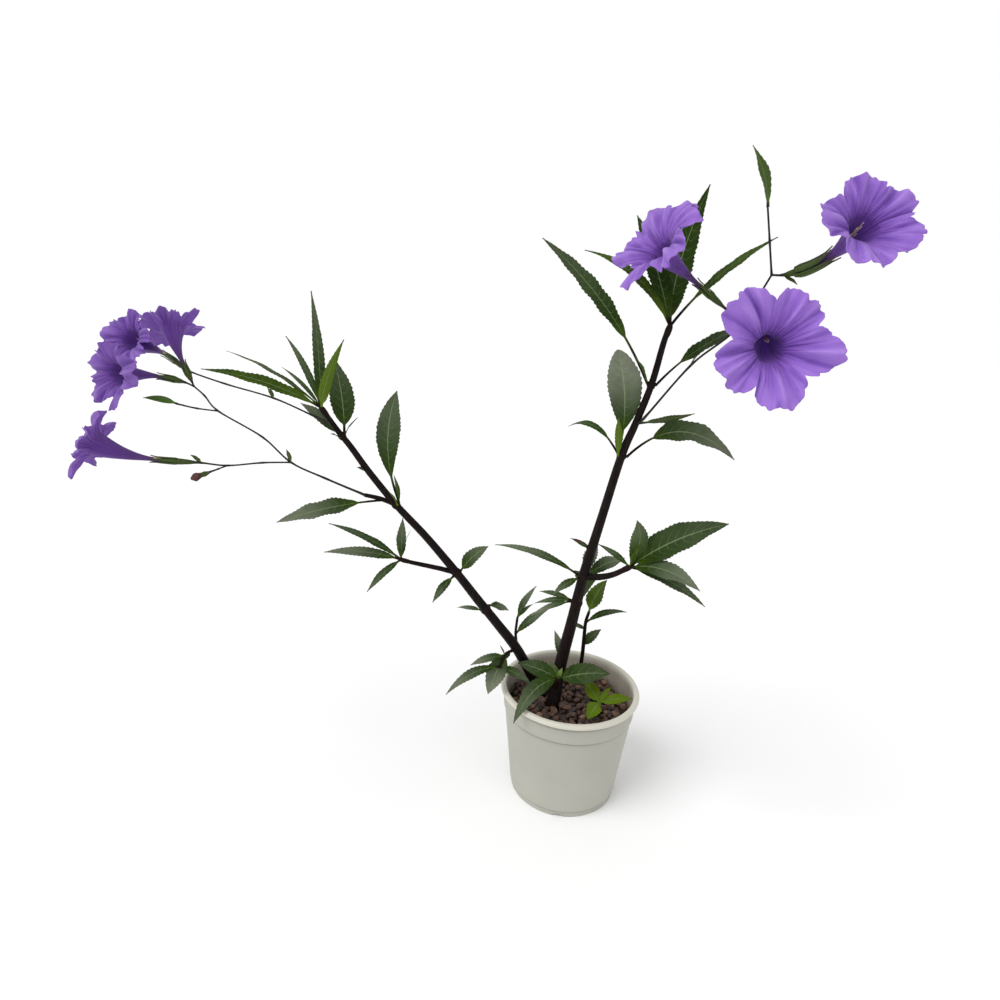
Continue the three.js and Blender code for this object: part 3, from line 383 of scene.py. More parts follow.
class Parts:
    """Closed patches gathered into one mesh, with values at their points for the finish."""

    def __init__(self):
        self.points, self.faces, self.values, self.count = [], [], [], 0

    def add(self, points, faces, **values):
        self.points.append(points)
        self.faces.extend((faces + self.count).tolist())
        self.values.append({name: np.broadcast_to(value, len(points)) for name, value in values.items()})
        self.count += len(points)

    def loft(self, grid, ring=False, **values):
        """Joins rows of points into a skin closed round each row. The rows close on each other
        if ring is set, and otherwise end in a fan of faces about the row's middle."""
        rows, sides = grid.shape[:2]
        i, j = np.meshgrid(np.arange(rows if ring else rows - 1), np.arange(sides), indexing="ij")
        up, on = (i + 1) % rows, (j + 1) % sides
        quads = np.stack([i * sides + j, i * sides + on, up * sides + on, up * sides + j], -1)
        quads = quads.reshape(-1, 4)
        spread = {name: np.broadcast_to(np.asarray(v, float), (rows, sides)) for name, v in values.items()}
        flat = {name: v.reshape(-1) for name, v in spread.items()}
        if ring:
            self.add(grid.reshape(-1, 3), quads, **flat)
            return
        start = self.count
        points = np.vstack([grid.reshape(-1, 3), grid[0].mean(0), grid[-1].mean(0)])
        ends = {name: np.append(flat[name], [v[0].mean(), v[-1].mean()]) for name, v in spread.items()}
        self.add(points, quads, **ends)
        j = np.arange(sides)
        foot, last = rows * sides, (rows - 1) * sides
        on = (j + 1) % sides
        fans = np.vstack([
            np.stack([np.full(sides, foot), on, j], -1),
            np.stack([np.full(sides, foot + 1), last + j, last + on], -1),
        ])
        self.faces.extend((fans + start).tolist())

    def piece(self, name, material, slot, *nodes):
        """The finished piece, in metres, riding on the plant's one body."""
        mesh = bpy.data.meshes.new(name)
        mesh.from_pydata((np.vstack(self.points) * MM).tolist(), [], self.faces)
        names = sorted({key for values in self.values for key in values})
        for key in names:
            values = [v.get(key, np.zeros(len(p))) for v, p in zip(self.values, self.points)]
            layer = mesh.attributes.new(key, "FLOAT", "POINT")
            layer.data.foreach_set("value", np.concatenate(values).astype(np.float32))
        mesh.shade_smooth()
        mesh.materials.append(material)
        made = bpy.data.objects.new(name, mesh)
        bpy.context.scene.collection.objects.link(made)
        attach(made, "root")
        if nodes:
            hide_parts(*nodes)
        return made


# Finishes


class Value:
    """A number that varies over a surface. Arithmetic on it adds Math nodes."""

    def __init__(self, paint, socket):
        self.paint, self.socket = paint, socket

    def math(self, operation, *others):
        inputs = dict(enumerate((self, *others)))
        return self.paint.node("ShaderNodeMath", {"operation": operation}, inputs)

    def __add__(self, other):
        return self.math("ADD", other)

    def __sub__(self, other):
        return self.math("SUBTRACT", other)

    def __mul__(self, other):
        return self.math("MULTIPLY", other)

    def __rsub__(self, other):
        return self.paint.node("ShaderNodeMath", {"operation": "SUBTRACT"}, {0: other, 1: self})

    __radd__ = __add__
    __rmul__ = __mul__

    def step(self, low, high, start=0.0, stop=1.0):
        """A smooth rise from start at low to stop at high."""
        inputs = {"Value": self, "From Min": low, "From Max": high, "To Min": start, "To Max": stop}
        return self.paint.node("ShaderNodeMapRange", {"interpolation_type": "SMOOTHSTEP"}, inputs)

    def line(self, half_width):
        """One on the whole numbers and nought further from them than the half width."""
        away = ((self + 0.5).math("FRACT") - 0.5).math("ABSOLUTE")
        return away.step(0.0, half_width, 1.0, 0.0)


class Paint:
    """A material whose nodes are added by calls on it."""

    def __init__(self, name, **fixed):
        self.material = bpy.data.materials.new(name)
        self.material.use_nodes = True
        self.tree = self.material.node_tree
        self.shader = next(n for n in self.tree.nodes if n.type == "BSDF_PRINCIPLED")
        for socket, value in fixed.items():
            self.shader.inputs[socket.replace("_", " ")].default_value = value

    def node(self, kind, settings=None, inputs=None, output=0):
        made = self.tree.nodes.new(kind)
        for name, value in (settings or {}).items():
            setattr(made, name, value)
        for name, value in (inputs or {}).items():
            if isinstance(value, Value):
                self.tree.links.new(value.socket, made.inputs[name])
            else:
                made.inputs[name].default_value = value
        return Value(self, made.outputs[output])

    def attribute(self, name):
        return self.node("ShaderNodeAttribute", {"attribute_name": name}, output="Fac")

    def place(self, stretch=(1, 1, 1)):
        where = self.node("ShaderNodeTexCoord", output="Object")
        return self.node("ShaderNodeMapping", inputs={"Vector": where, "Scale": stretch})

    def noise(self, scale, detail=3.0, stretch=(1, 1, 1), rough=0.5):
        inputs = {"Vector": self.place(stretch), "Scale": scale, "Detail": detail, "Roughness": rough}
        return self.node("ShaderNodeTexNoise", inputs=inputs)

    def cells(self, scale):
        inputs = {"Vector": self.place(), "Scale": scale}
        return self.node("ShaderNodeTexVoronoi", inputs=inputs)

    def blend(self, share, first, second):
        inputs = {0: share, 6: first, 7: second}
        return self.node("ShaderNodeMix", {"data_type": "RGBA"}, inputs, output=2)

    def ramp(self, value, *stops):
        """A colour for a value, from stops of place and colour."""
        made = self.tree.nodes.new("ShaderNodeValToRGB")
        elements = made.color_ramp.elements
        while len(elements) < len(stops):
            elements.new(0.5)
        for element, (place, colour) in zip(elements, stops):
            element.position = place
            element.color = colour
        self.tree.links.new(value.socket, made.inputs["Fac"])
        return Value(self, made.outputs["Color"])

    def bump(self, height, distance):
        """A relief whose height is the value times the distance in millimetres."""
        inputs = {"Height": height, "Distance": distance * MM, "Strength": 1.0}
        return self.node("ShaderNodeBump", inputs=inputs)

    def finish(self, **varying):
        for socket, value in varying.items():
            self.tree.links.new(value.socket, self.shader.inputs[socket.replace("_", " ")])
        return self.material


def tint(code):
    """A colour as the screen shows it, made linear: ((c + 0.055) / 1.055) ^ 2.4."""
    channels = [int(code[i:i + 2], 16) / 255 for i in (1, 3, 5)]
    return tuple(c / 12.92 if c <= 0.04045 else ((c + 0.055) / 1.055) ** 2.4 for c in channels) + (1.0,)


def leaf_finish():
    """Dark green with a thin pale midrib and faint side veins. Fresh leaves are yellow green,
    faces with painted sheen are greyish, undersides are duller, and leaf feet and rings are like bark."""
    paint = Paint("leaf_green", Specular_IOR_Level=0.1)
    fresh, pale, under = paint.attribute("fresh"), paint.attribute("pale"), paint.attribute("under")
    across, vein, bark = paint.attribute("across"), paint.attribute("vein"), paint.attribute("bark")
    mottle = paint.noise(90, 4)
    grain = paint.noise(900, 2)
    green = paint.blend(fresh.step(0, 1), tint("#213806"), tint("#556c08"))
    # Painted sheen: pale faces are greyed in patches, as by a reflection of the sky.
    green = paint.blend(pale * mottle.step(0.2, 0.8, 0.45, 1.0), green, tint("#9a9f8c"))
    dark = mottle.step(0.35, 0.75, 0.0, 0.5) * (1 - fresh.step(0.5, 1))
    green = paint.blend(dark, green, tint("#152505"))
    green = paint.blend(under * 0.4, green, tint("#40581f"))
    ribs = across.step(0.0, 0.07, 1.0, 0.0)
    side_veins = vein.line(0.065) * across.step(0.05, 0.95, 0.7, 0.1)
    # Side veins show pale on plain faces and dark through the painted sheen.
    vein_tint = paint.blend(pale.step(0.2, 0.9), tint("#75875a"), tint("#2f3f22"))
    green = paint.blend(side_veins * 0.75, green, vein_tint)
    green = paint.blend(ribs * 0.6, green, tint("#8a9c70"))
    green = paint.blend(bark, green, paint.blend(mottle, tint("#0d0908"), tint("#241512")))
    green = paint.blend(paint.attribute("brown"), green, tint("#4a2a22"))
    rough = 0.42 + grain * 0.14 + under * 0.15 + bark * 0.2
    relief = grain * 0.2 + mottle * 1.5 - ribs * 0.6 - side_veins * 0.8
    return paint.finish(Base_Color=green, Roughness=rough, Normal=paint.bump(relief, 0.25))


def bark_finish():
    """Purple black bark with fine streaks along the stem, redder and lighter in patches."""
    paint = Paint("stem_bark", Specular_IOR_Level=0.1)
    streaks = paint.noise(420, 4, stretch=(1, 1, 0.12))
    patches = paint.noise(45, 3)
    colour = paint.ramp(streaks, (0.3, tint("#080606")), (0.55, tint("#130c0b")), (0.8, tint("#2a1b17")))
    colour = paint.blend(patches.step(0.45, 0.75, 0.0, 0.5), colour, tint("#231210"))
    spots = paint.cells(700).step(0.05, 0.3, 1.0, 0.0)
    colour = paint.blend(spots * 0.25, colour, tint("#4d3b34"))
    relief = streaks + spots * 0.4
    return paint.finish(
        Base_Color=colour, Roughness=0.5 + streaks * 0.2, Normal=paint.bump(relief, 0.25)
    )


def stalk_finish():
    """Olive green near the flowers and nearly black where the stalks are thin. Leaves on the
    stalks are dark green with a pale midrib."""
    paint = Paint("stalk_green", Specular_IOR_Level=0.3)
    fresh, thin, across = paint.attribute("fresh"), paint.attribute("bark"), paint.attribute("across")
    streaks = paint.noise(500, 3, stretch=(1, 1, 0.4))
    green = paint.blend(streaks, tint("#222e0b"), tint("#3f5012"))
    green = paint.blend(fresh.step(0, 1), green, tint("#43700f"))
    green = paint.blend(paint.attribute("purple"), green, tint("#33202a"))
    green = paint.blend(thin, green, paint.blend(streaks, tint("#0c0908"), tint("#1f1814")))
    green = paint.blend(across.step(0.0, 0.2, 0.35, 0.0), green, tint("#6d803f"))
    return paint.finish(Base_Color=green, Roughness=0.5 + streaks * 0.15, Normal=paint.bump(streaks, 0.1))


def petal_finish():
    """Violet petals: light on the lobes, deep in the throat and olive at the tube's foot, with
    purple veins and painted shade in creases that run out from the tube and fade towards the
    edge. Painted highlights lie on the crests of the folds and painted shade in their valleys.
    A little light scatters through the thin walls, and the throat has a faint painted glow."""
    paint = Paint(
        "petal_violet", Specular_IOR_Level=0.2, Sheen_Weight=0.12, Sheen_Roughness=0.5,
        Subsurface_Weight=0.1, Subsurface_Scale=1.5 * MM, Emission_Strength=1.0,
    )
    paint.shader.inputs["Subsurface Radius"].default_value = (0.6, 0.3, 0.9)
    out, side, inside = paint.attribute("out"), paint.attribute("side"), paint.attribute("inside")
    deep, crease = paint.attribute("deep"), paint.attribute("crease")
    cloud = paint.noise(110, 4)
    fine = paint.noise(700, 3)
    violet = paint.ramp(
        out, (0.0, tint("#3c3a20")), (0.14, tint("#4a2f41")), (0.3, tint("#573280")),
        (0.48, tint("#6f449f")), (0.66, tint("#8a60bd")), (1.0, tint("#9a73cb")),
    )
    violet = paint.blend(cloud.step(0.4, 0.75, 0.0, 0.4), violet, tint("#784eae"))
    # Painted shade in the valleys of the folds and a painted highlight on their crests.
    crest = paint.attribute("crest")
    violet = paint.blend(crest.step(-1, 0, 0.7, 0.0), violet, tint("#623c9a"))
    violet = paint.blend(crest.step(0.1, 1, 0.0, 0.55), violet, tint("#b08ddd"))
    violet = paint.blend(deep * 0.7, violet, tint("#5b3781"))
    throat = inside * (out + side * 0.14 + cloud * 0.14).step(0.36, 0.64, 1.0, 0.0)
    violet = paint.blend(throat * 0.75, violet, tint("#351a5c"))
    forks = (side * 3 + cloud * 0.5).line(0.13) * out.step(0.35, 0.95, 0.9, 0.1)
    main = side.step(0.0, 0.08, 1.0, 0.0) * out.step(0.45, 0.85, 1.0, 0.05)
    veins = forks.math("MAXIMUM", main)
    violet = paint.blend(veins * out.step(0.5, 0.75, 0.95, 0.6), violet, tint("#4a1c74"))
    # Painted shade along the creases.
    violet = paint.blend(crease * 0.85, violet, tint("#472180"))
    # A painted glow in the throat, as emission.
    glow = paint.blend(throat, tint("#000000"), tint("#241046"))
    rough = 0.6 + fine * 0.15
    relief = fine * 0.25 + paint.noise(230, 3) * 0.9 + cloud * 1.3 - veins * 0.5
    return paint.finish(
        Base_Color=violet, Roughness=rough, Emission_Color=glow, Normal=paint.bump(relief, 0.5)
    )


def anther_finish():
    """Cream anthers on pale stalks."""
    paint = Paint("anther_cream", Roughness=0.6)
    colour = paint.blend(paint.noise(1500, 2), tint("#bfa183"), tint("#dcc6a4"))
    return paint.finish(Base_Color=colour)


def withered_finish():
    """Dry brown petals, crumpled and streaked, in a calyx that is still green."""
    paint = Paint("withered_brown", Roughness=0.8)
    creases = paint.noise(600, 4)
    colour = paint.ramp(creases, (0.3, tint("#2e1a18")), (0.6, tint("#5a352f")), (0.85, tint("#7a5048")))
    green = paint.blend(creases, tint("#22300b"), tint("#3f5512"))
    colour = paint.blend(paint.attribute("calyx"), colour, green)
    return paint.finish(Base_Color=colour, Normal=paint.bump(creases, 0.5))


def pebble_finish():
    """Worn pebbles from dark brown to pinkish brown, each of one colour, with a fine grain."""
    paint = Paint("pebble_stone", Specular_IOR_Level=0.45)
    shade, grain = paint.attribute("shade"), paint.noise(500, 4)
    colour = paint.ramp(
        shade, (0.0, tint("#1a110c")), (0.3, tint("#37241b")), (0.65, tint("#5c4031")),
        (1.0, tint("#94705a")),
    )
    colour = paint.blend(grain.step(0.4, 0.8, 0.0, 0.5), colour, tint("#2a1b17"))
    return paint.finish(Base_Color=colour, Roughness=0.38 + grain * 0.25, Normal=paint.bump(grain, 0.25))


def soil_finish():
    """Dark crumbly potting mix, darkened further to paint the shade in the gaps between the pebbles."""
    paint = Paint("potting_soil", Roughness=0.95)
    crumbs, lumps = paint.cells(420), paint.noise(160, 5)
    # Near black: partly the soil's own colour, partly painted shade for the gaps between pebbles.
    colour = paint.ramp(crumbs, (0.0, tint("#241811")), (0.5, tint("#140c08")), (1.0, tint("#0a0604")))
    return paint.finish(Base_Color=colour, Normal=paint.bump(lumps - crumbs, 1.5))


def pot_finish():
    """Warm grey moulded plastic with faint clouds, fine scuffs and a satin gloss, browner
    inside, with a painted highlight on the rim and painted shade in the grooves."""
    paint = Paint("pot_plastic", Specular_IOR_Level=0.4)
    clouds = paint.noise(14, 4)
    scuffs = paint.noise(160, 5, stretch=(1, 1, 0.25), rough=0.65)
    dust = paint.noise(1300, 2)
    colour = paint.blend(clouds.step(0.3, 0.7), tint("#a6a59b"), tint("#adaca2"))
    colour = paint.blend(scuffs.step(0.58, 0.8, 0.0, 0.25), colour, tint("#9a978b"))
    inner = paint.attribute("inner")
    colour = paint.blend(inner * 0.8, colour, tint("#aca294"))
    # Painted highlight on the rolled rim.
    colour = paint.blend(paint.attribute("lip") * 0.9, colour, tint("#cdcabc"))
    # Painted shade in the grooves under the collar, over the foot and under the rim.
    colour = paint.blend(paint.attribute("groove") * 0.8, colour, tint("#5f5d56"))
    colour = paint.blend(inner * scuffs.step(0.35, 0.7, 0.0, 0.3), colour, tint("#7d7060"))
    rough = 0.42 + scuffs * 0.16
    return paint.finish(Base_Color=colour, Roughness=rough, Normal=paint.bump(dust * 0.4 + scuffs, 0.08))


# Leaves

LEAF_SIDES = 20
SLIM_SIDES = 12
BROAD_WIDTH = 8.5
FOLDED_WIDTH = 6.0
GROOVED_HALF = 2.2
GROOVE_DEPTH = 0.12
TOOTH_DEPTH = 1.2
MOST_TOOTH = 0.1
SWELL_HEIGHT = 0.012
WAVE_PITCH = 26.0
FOLD_RISE = 0.22
VEIN_PITCH = 7.0
VEIN_SLANT = 0.6
EDGE_WAVE = 1.0
MOST_TWIST = 12.0
RING_SIDES = 20
RING_ROWS = 9
RING_RISE = 0.1
CAP_SIDES = 16
# Lengths past the stem's end, and how much thicker than the stem the knob is there
CAP_PROFILE = np.array([
    (-4.5, 0.1), (-4, 0.3), (-2, 0.4), (0, 0.4), (1, 0.3), (2, 0.1), (3, -0.3), (3.8, -0.7), (4.2, -1.1),
])
STEM_SIDES = 20
STEM_STEPS = 10
STEM_ANGLED = 0.04
SHOOT_SIDES = 12
SHOOT_STEPS = 6
random = np.random.default_rng(7)


def leaf_frame(foot, shape, share, twist):
    """The midrib, and the directions across the blade and square to it, at shares of the
    length. The midrib is a quadratic Bezier from foot to tip, lifted twice the arch and pushed
    twice the bow at its middle, and the blade twists evenly along it."""
    azimuth, rise = math.radians(shape["azimuth"]), math.radians(shape["rise"])
    level = np.array([math.cos(azimuth), math.sin(azimuth), 0.0])
    chord = level * math.cos(rise) + Z * math.sin(rise)
    up = -level * math.sin(rise) + Z * math.cos(rise)
    right = np.cross(chord, up)
    tip = foot + chord * shape["long"]
    crest = (foot + tip) / 2 + up * 2 * shape["arch"] + right * 2 * shape["bow"]
    roll = np.radians(shape["roll"] + twist * (share - 0.5))
    facing = up * np.cos(roll) + right * np.sin(roll)
    midrib = foot * (1 - share) ** 2 + crest * 2 * share * (1 - share) + tip * share**2
    heading = unit((crest - foot) * (1 - share) + (tip - crest) * share)
    across = unit(np.cross(heading, facing))
    return midrib, across, np.cross(across, heading)


def add_leaf(parts, foot, shape):
    """A leaf as a thin lens carried along its midrib. Half the width is wide / 2 times
    sin(pi x^lean)^full for x from 0 to 1 along the blade, with saw teeth, and never less than
    the stalk. The two halves fold up from the midrib, swell between the side veins and wave
    at the edge."""
    long, wide = shape["long"], shape["wide"]
    broad = wide > BROAD_WIDTH
    teeth = max(3, round(long * (1 - shape["stalk"]) / TOOTH_LENGTH))
    rows = (4 if broad else 3) * teeth + 4
    share = np.linspace(0, 1, rows)[:, None]
    twist = shape["twist"] + random.uniform(-MOST_TWIST, MOST_TWIST) * broad
    midrib, across, normal = leaf_frame(foot, shape, share, twist)
    blade = np.clip((share - shape["stalk"]) / (1 - shape["stalk"]), 0, 1)
    oval = np.sin(math.pi * blade ** shape["lean"]).clip(0) ** shape["full"]
    saw = (blade * teeth) % 1.0
    toothed = min(MOST_TOOTH, TOOTH_DEPTH / wide) * (shape["bud"] == 0)
    tooth = 1 + toothed * (2 * saw - 1) * smooth(blade, 0.05, 0.2)
    stalk = min(STALK_WIDTH, 0.35 * wide) * (0.5 - 0.3 * share)
    half = np.maximum(stalk, 0.5 * wide * oval * tooth)
    slim = smooth(share, 0, shape["stalk"] + 0.15)
    thick = STALK_THICKNESS + (BLADE_THICKNESS - STALK_THICKNESS) * slim
    thick = np.maximum(thick * (1 - 0.5 * share), shape["bud"] * wide * oval)
    sides = LEAF_SIDES if broad else SLIM_SIDES
    angle = around(sides)
    side = -np.cos(angle)
    edge = np.abs(side)
    pairs = max(3, round(long / VEIN_PITCH))
    slant = VEIN_SLANT * pairs * wide / long
    vein = blade * pairs - slant * edge**1.25 + 0.5 * (side > 0)
    flat = 1 - smooth(edge, 0.6, 1.0)
    swell = SWELL_HEIGHT * wide * np.cos(FULL_TURN * (vein + 0.5)) * flat * smooth(edge, 0.05, 0.3) * oval
    phase = random.uniform(0, FULL_TURN, 2)
    waves = max(1.5, long / WAVE_PITCH)
    ripple = np.sin(FULL_TURN * waves * blade + np.where(side > 0, *phase)) * edge**2 * min(1.0, wide / 14)
    fold = FOLD_RISE * half * edge**1.2 * (wide > FOLDED_WIDTH)
    lens = 0.5 * thick * np.sin(angle)
    groove = -GROOVE_DEPTH * (1 - smooth(edge, 0.0, 0.35)) * (half > GROOVED_HALF)
    lift = lens + (fold + swell + EDGE_WAVE * ripple * oval + groove) * (shape["bud"] == 0)
    grid = midrib[:, None] + across[:, None] * (side * half)[..., None] + normal[:, None] * lift[..., None]
    # pale is the share of painted sheen, growing towards the tip.
    parts.loft(
        grid, across=edge, vein=vein, under=(np.sin(angle) < -0.1) * smooth(blade, 0, 0.2),
        fresh=shape["fresh"] + 0.25 * (1 - smooth(blade, 0, 0.25)) * (shape["fresh"] > 0.05),
        pale=shape["pale"] * smooth(blade, 0.05, 0.9), brown=(shape["fresh"] < 0) * smooth(blade, 0.3, 0.8),
        bark=(1 - smooth(share, 0.5 * shape["stalk"], shape["stalk"] + 0.02)) * (shape["fresh"] < 0.45),
    )


def add_ring(parts, stem, at):
    """The swollen ring of a node: the stem's radius and a cosine swell along it."""
    step = 0.1
    near = along_stem(stem, [at, at - step]).centre
    span = np.linalg.norm(near[0] - near[1]) / step
    offset = np.linspace(-1, 1, RING_ROWS)
    stations = along_stem(stem, at + offset * RING_HALF / span)
    swell = RING_RISE + RING_SWELL * np.cos(offset * math.pi / 2) ** 0.7
    parts.loft(stations.rings((stations.radius + swell)[:, None], around(RING_SIDES)), bark=1.0)


def add_cap(parts, stem):
    """The knob over a stem's end, from which the last whorl grows."""
    past, more = CAP_PROFILE.T
    end = np.full(len(past), len(STEMS[stem]) - 1.0)
    stations = along_stem(stem, end, past)
    parts.loft(stations.rings((stations.radius + more)[:, None], around(CAP_SIDES)), bark=1.0)


def make_whorl(name, stem, at, leaves):
    """The leaves that grow from one place on a stem, with the swollen ring there, or with the
    knob over the stem's end. A single leaf has no ring."""
    parts = Parts()
    on_tip, single = at == "tip", len(leaves) == 1
    place = along_stem(stem, len(STEMS[stem]) - 1, CAP_REACH) if on_tip else along_stem(stem, at)
    heading = place.heading[0]
    for shape in leaves:
        azimuth = math.radians(shape["azimuth"])
        out = np.array([math.cos(azimuth), math.sin(azimuth), math.tan(math.radians(shape["rise"]))])
        out = unit(out - heading * out.dot(heading))
        start = 0 if on_tip or single else place.radius[0] + ROOT_DEPTH
        add_leaf(parts, place.centre[0] + out * start, shape)
    if on_tip:
        add_cap(parts, stem)
    elif not single:
        add_ring(parts, stem, at)
    return parts.piece(name + "_green", LEAF, "leaf", name)


def add_stem(parts, stem, sides, per_span, angled=0.0, **values):
    """A tapering stem whose section is round or, by a cosine of four turns, a little angled."""
    last = len(STEMS[stem]) - 1
    stations = along_stem(stem, np.linspace(0, last, last * per_span + 1))
    angles = around(sides)
    shape = 1 + angled * np.cos(4 * angles)
    parts.loft(stations.rings(stations.radius[:, None] * shape, angles), **values)


def make_woody_stem(name, stems):
    """A stem with its side branches in one piece."""
    parts = Parts()
    for stem in stems:
        add_stem(parts, stem, STEM_SIDES, STEM_STEPS, angled=STEM_ANGLED)
    return parts.piece(name + "_bark", BARK, "bark", name)


def make_shoot(name, stems, leaves):
    """Thin stems with their leaves in one piece. The seedling is young and bright all over."""
    parts = Parts()
    young = name == "seedling"
    for stem in stems:
        colour = dict(fresh=1.0, bark=0.3) if young else dict(fresh=0.0, bark=1.0)
        add_stem(parts, stem, SHOOT_SIDES, SHOOT_STEPS, **colour)
    for stem, at, shape in leaves:
        add_leaf(parts, along_stem(stem, at).centre[0], shape)
    return parts.piece(name + "_green", LEAF, "young_leaf" if young else "leaf", name)


# Flowers

PETAL_SIDES = 240
# Share of the tube, its radius there and the slope of its wall in degrees
TUBE_ROWS = np.array([
    (0, TUBE_RADIUS, 0), (0.33, 1.5, 4), (0.64, 4, 19), (1, MOUTH_RADIUS, MOUTH_ANGLE),
], float)
TUBE_STEPS = 22
LOBE_STEPS = 28
FUNNEL_FOLD = 0.05
CLEFT_DEPTH = 0.36
NARROW_CLEFT = 0.34
TIP_NOTCH = 0.08
LOBE_WAVE = 1.8
CREASE_PLACE = 0.42
CREST_HEIGHT = 1.5
FOLD_HEIGHT = 0.42
CREASE_WIDTH = 0.075
CREASE_DEPTH = 2.6
CREASE_WANDER = 0.09
RIDGE_HEIGHT = 1.1
RIDGE_WIDTH = 0.14
TIP_NOTCH_WIDTH = 0.16
EDGE_BUMPS = ((17, 0.035), (26, 0.022))
EDGE_SWING = 0.02
FOLD_COUNTS = (12, 17, 23, 29, 37)
RUFFLE_COUNTS = (9, 14, 21, 29)
RUFFLE_HEIGHT = 0.55
AXIS_STEPS = 201


def flower_axis(flower):
    """The axis bends from the end of the stalk to the way the mouth faces: a cubic Bezier
    whose inner points lie a third of the way along those two directions. The result gives
    stations at distances from the stalk's end, and the whole length."""
    stalk, mouth, facing = flower["stalk"], flower["mouth"], unit(flower["facing"])
    end = along_stem(stalk, len(STEMS[stalk]) - 1)
    start = end.centre[0]
    reach = np.linalg.norm(mouth - start)
    second = start + end.heading[0] * AXIS_PULL * reach
    third = mouth - facing * AXIS_PULL * reach
    t = np.linspace(0, 1, AXIS_STEPS)[:, None]
    near = start * (1 - t) ** 3 + second * 3 * t * (1 - t) ** 2
    line = near + third * 3 * t**2 * (1 - t) + mouth * t**3
    slope = (second - start) * (1 - t) ** 2 + (third - second) * 2 * t * (1 - t) + (mouth - third) * t**2
    run = np.append(0, np.cumsum(np.linalg.norm(np.diff(line, axis=0), axis=1)))
    reference = Y if abs(facing[2]) > NEAR_AXIS else Z

    def at(distances):
        distances = np.atleast_1d(np.asarray(distances, float))
        inner = np.clip(distances, 0, run[-1])
        centre = np.stack([np.interp(inner, run, line[:, k]) for k in range(3)], -1)
        heading = unit(np.stack([np.interp(inner, run, slope[:, k]) for k in range(3)], -1))
        return Stations(centre + heading * (distances - inner)[:, None], heading, reference)

    return at, run[-1]


def lobes_at(flower, angle):
    """Turn, length, curl and narrowness at an angle: an even S leads from the middle of one
    lobe to the middle of the next."""
    place = (angle * LOBES / FULL_TURN - 0.5) % LOBES
    before = np.floor(place).astype(int)
    ease = smooth(place - before)[..., None]
    near, far = flower["lobes"][before % LOBES], flower["lobes"][(before + 1) % LOBES]
    return np.moveaxis(near + (far - near) * ease, -1, 0)


def scalloped(seed, angle):
    """Round bumps along the petals' edge: sums of |sin n a|, which is cusped between bumps."""
    bumps = sum(
        size * (np.abs(np.sin(count * angle + seed.uniform(0, FULL_TURN))) - 0.9)
        for count, size in EDGE_BUMPS
    )
    return bumps + EDGE_SWING * np.sin(7 * angle + seed.uniform(0, FULL_TURN)) - EDGE_SWING


def crinkled(seed, angle, way):
    """Folds that run out along the lobes and wander a little: a sum of cosines of the angle
    whose phases drift with the way out."""
    total = 0.0
    for count in FOLD_COUNTS:
        drift = seed.uniform(-5, 5) * way + seed.uniform(0, FULL_TURN)
        total = total + FOLD_HEIGHT * (FOLD_COUNTS[0] / count) ** 0.5 * np.cos(count * angle + drift)
    return total


def creased(seed, angle, side):
    """How deep the creases are, one at each side of a lobe's middle: exp(-|apart| / width),
    where the place that they keep from the middle wanders with the angle."""
    apart = side - CREASE_PLACE - CREASE_WANDER * np.sin(3 * angle + seed.uniform(0, FULL_TURN))
    uneven = 0.75 + 0.25 * np.sin(2 * angle + seed.uniform(0, FULL_TURN))
    return np.exp(-np.abs(apart) / CREASE_WIDTH) * uneven


def ruffled(seed, angle, way):
    """Ruffles of the edge: sines of the angle that turn with the way out."""
    return sum(
        seed.uniform(0.4, 0.9) * np.sin(count * angle + seed.uniform(0, FULL_TURN) + 2.0 * way)
        for count in RUFFLE_COUNTS
    )


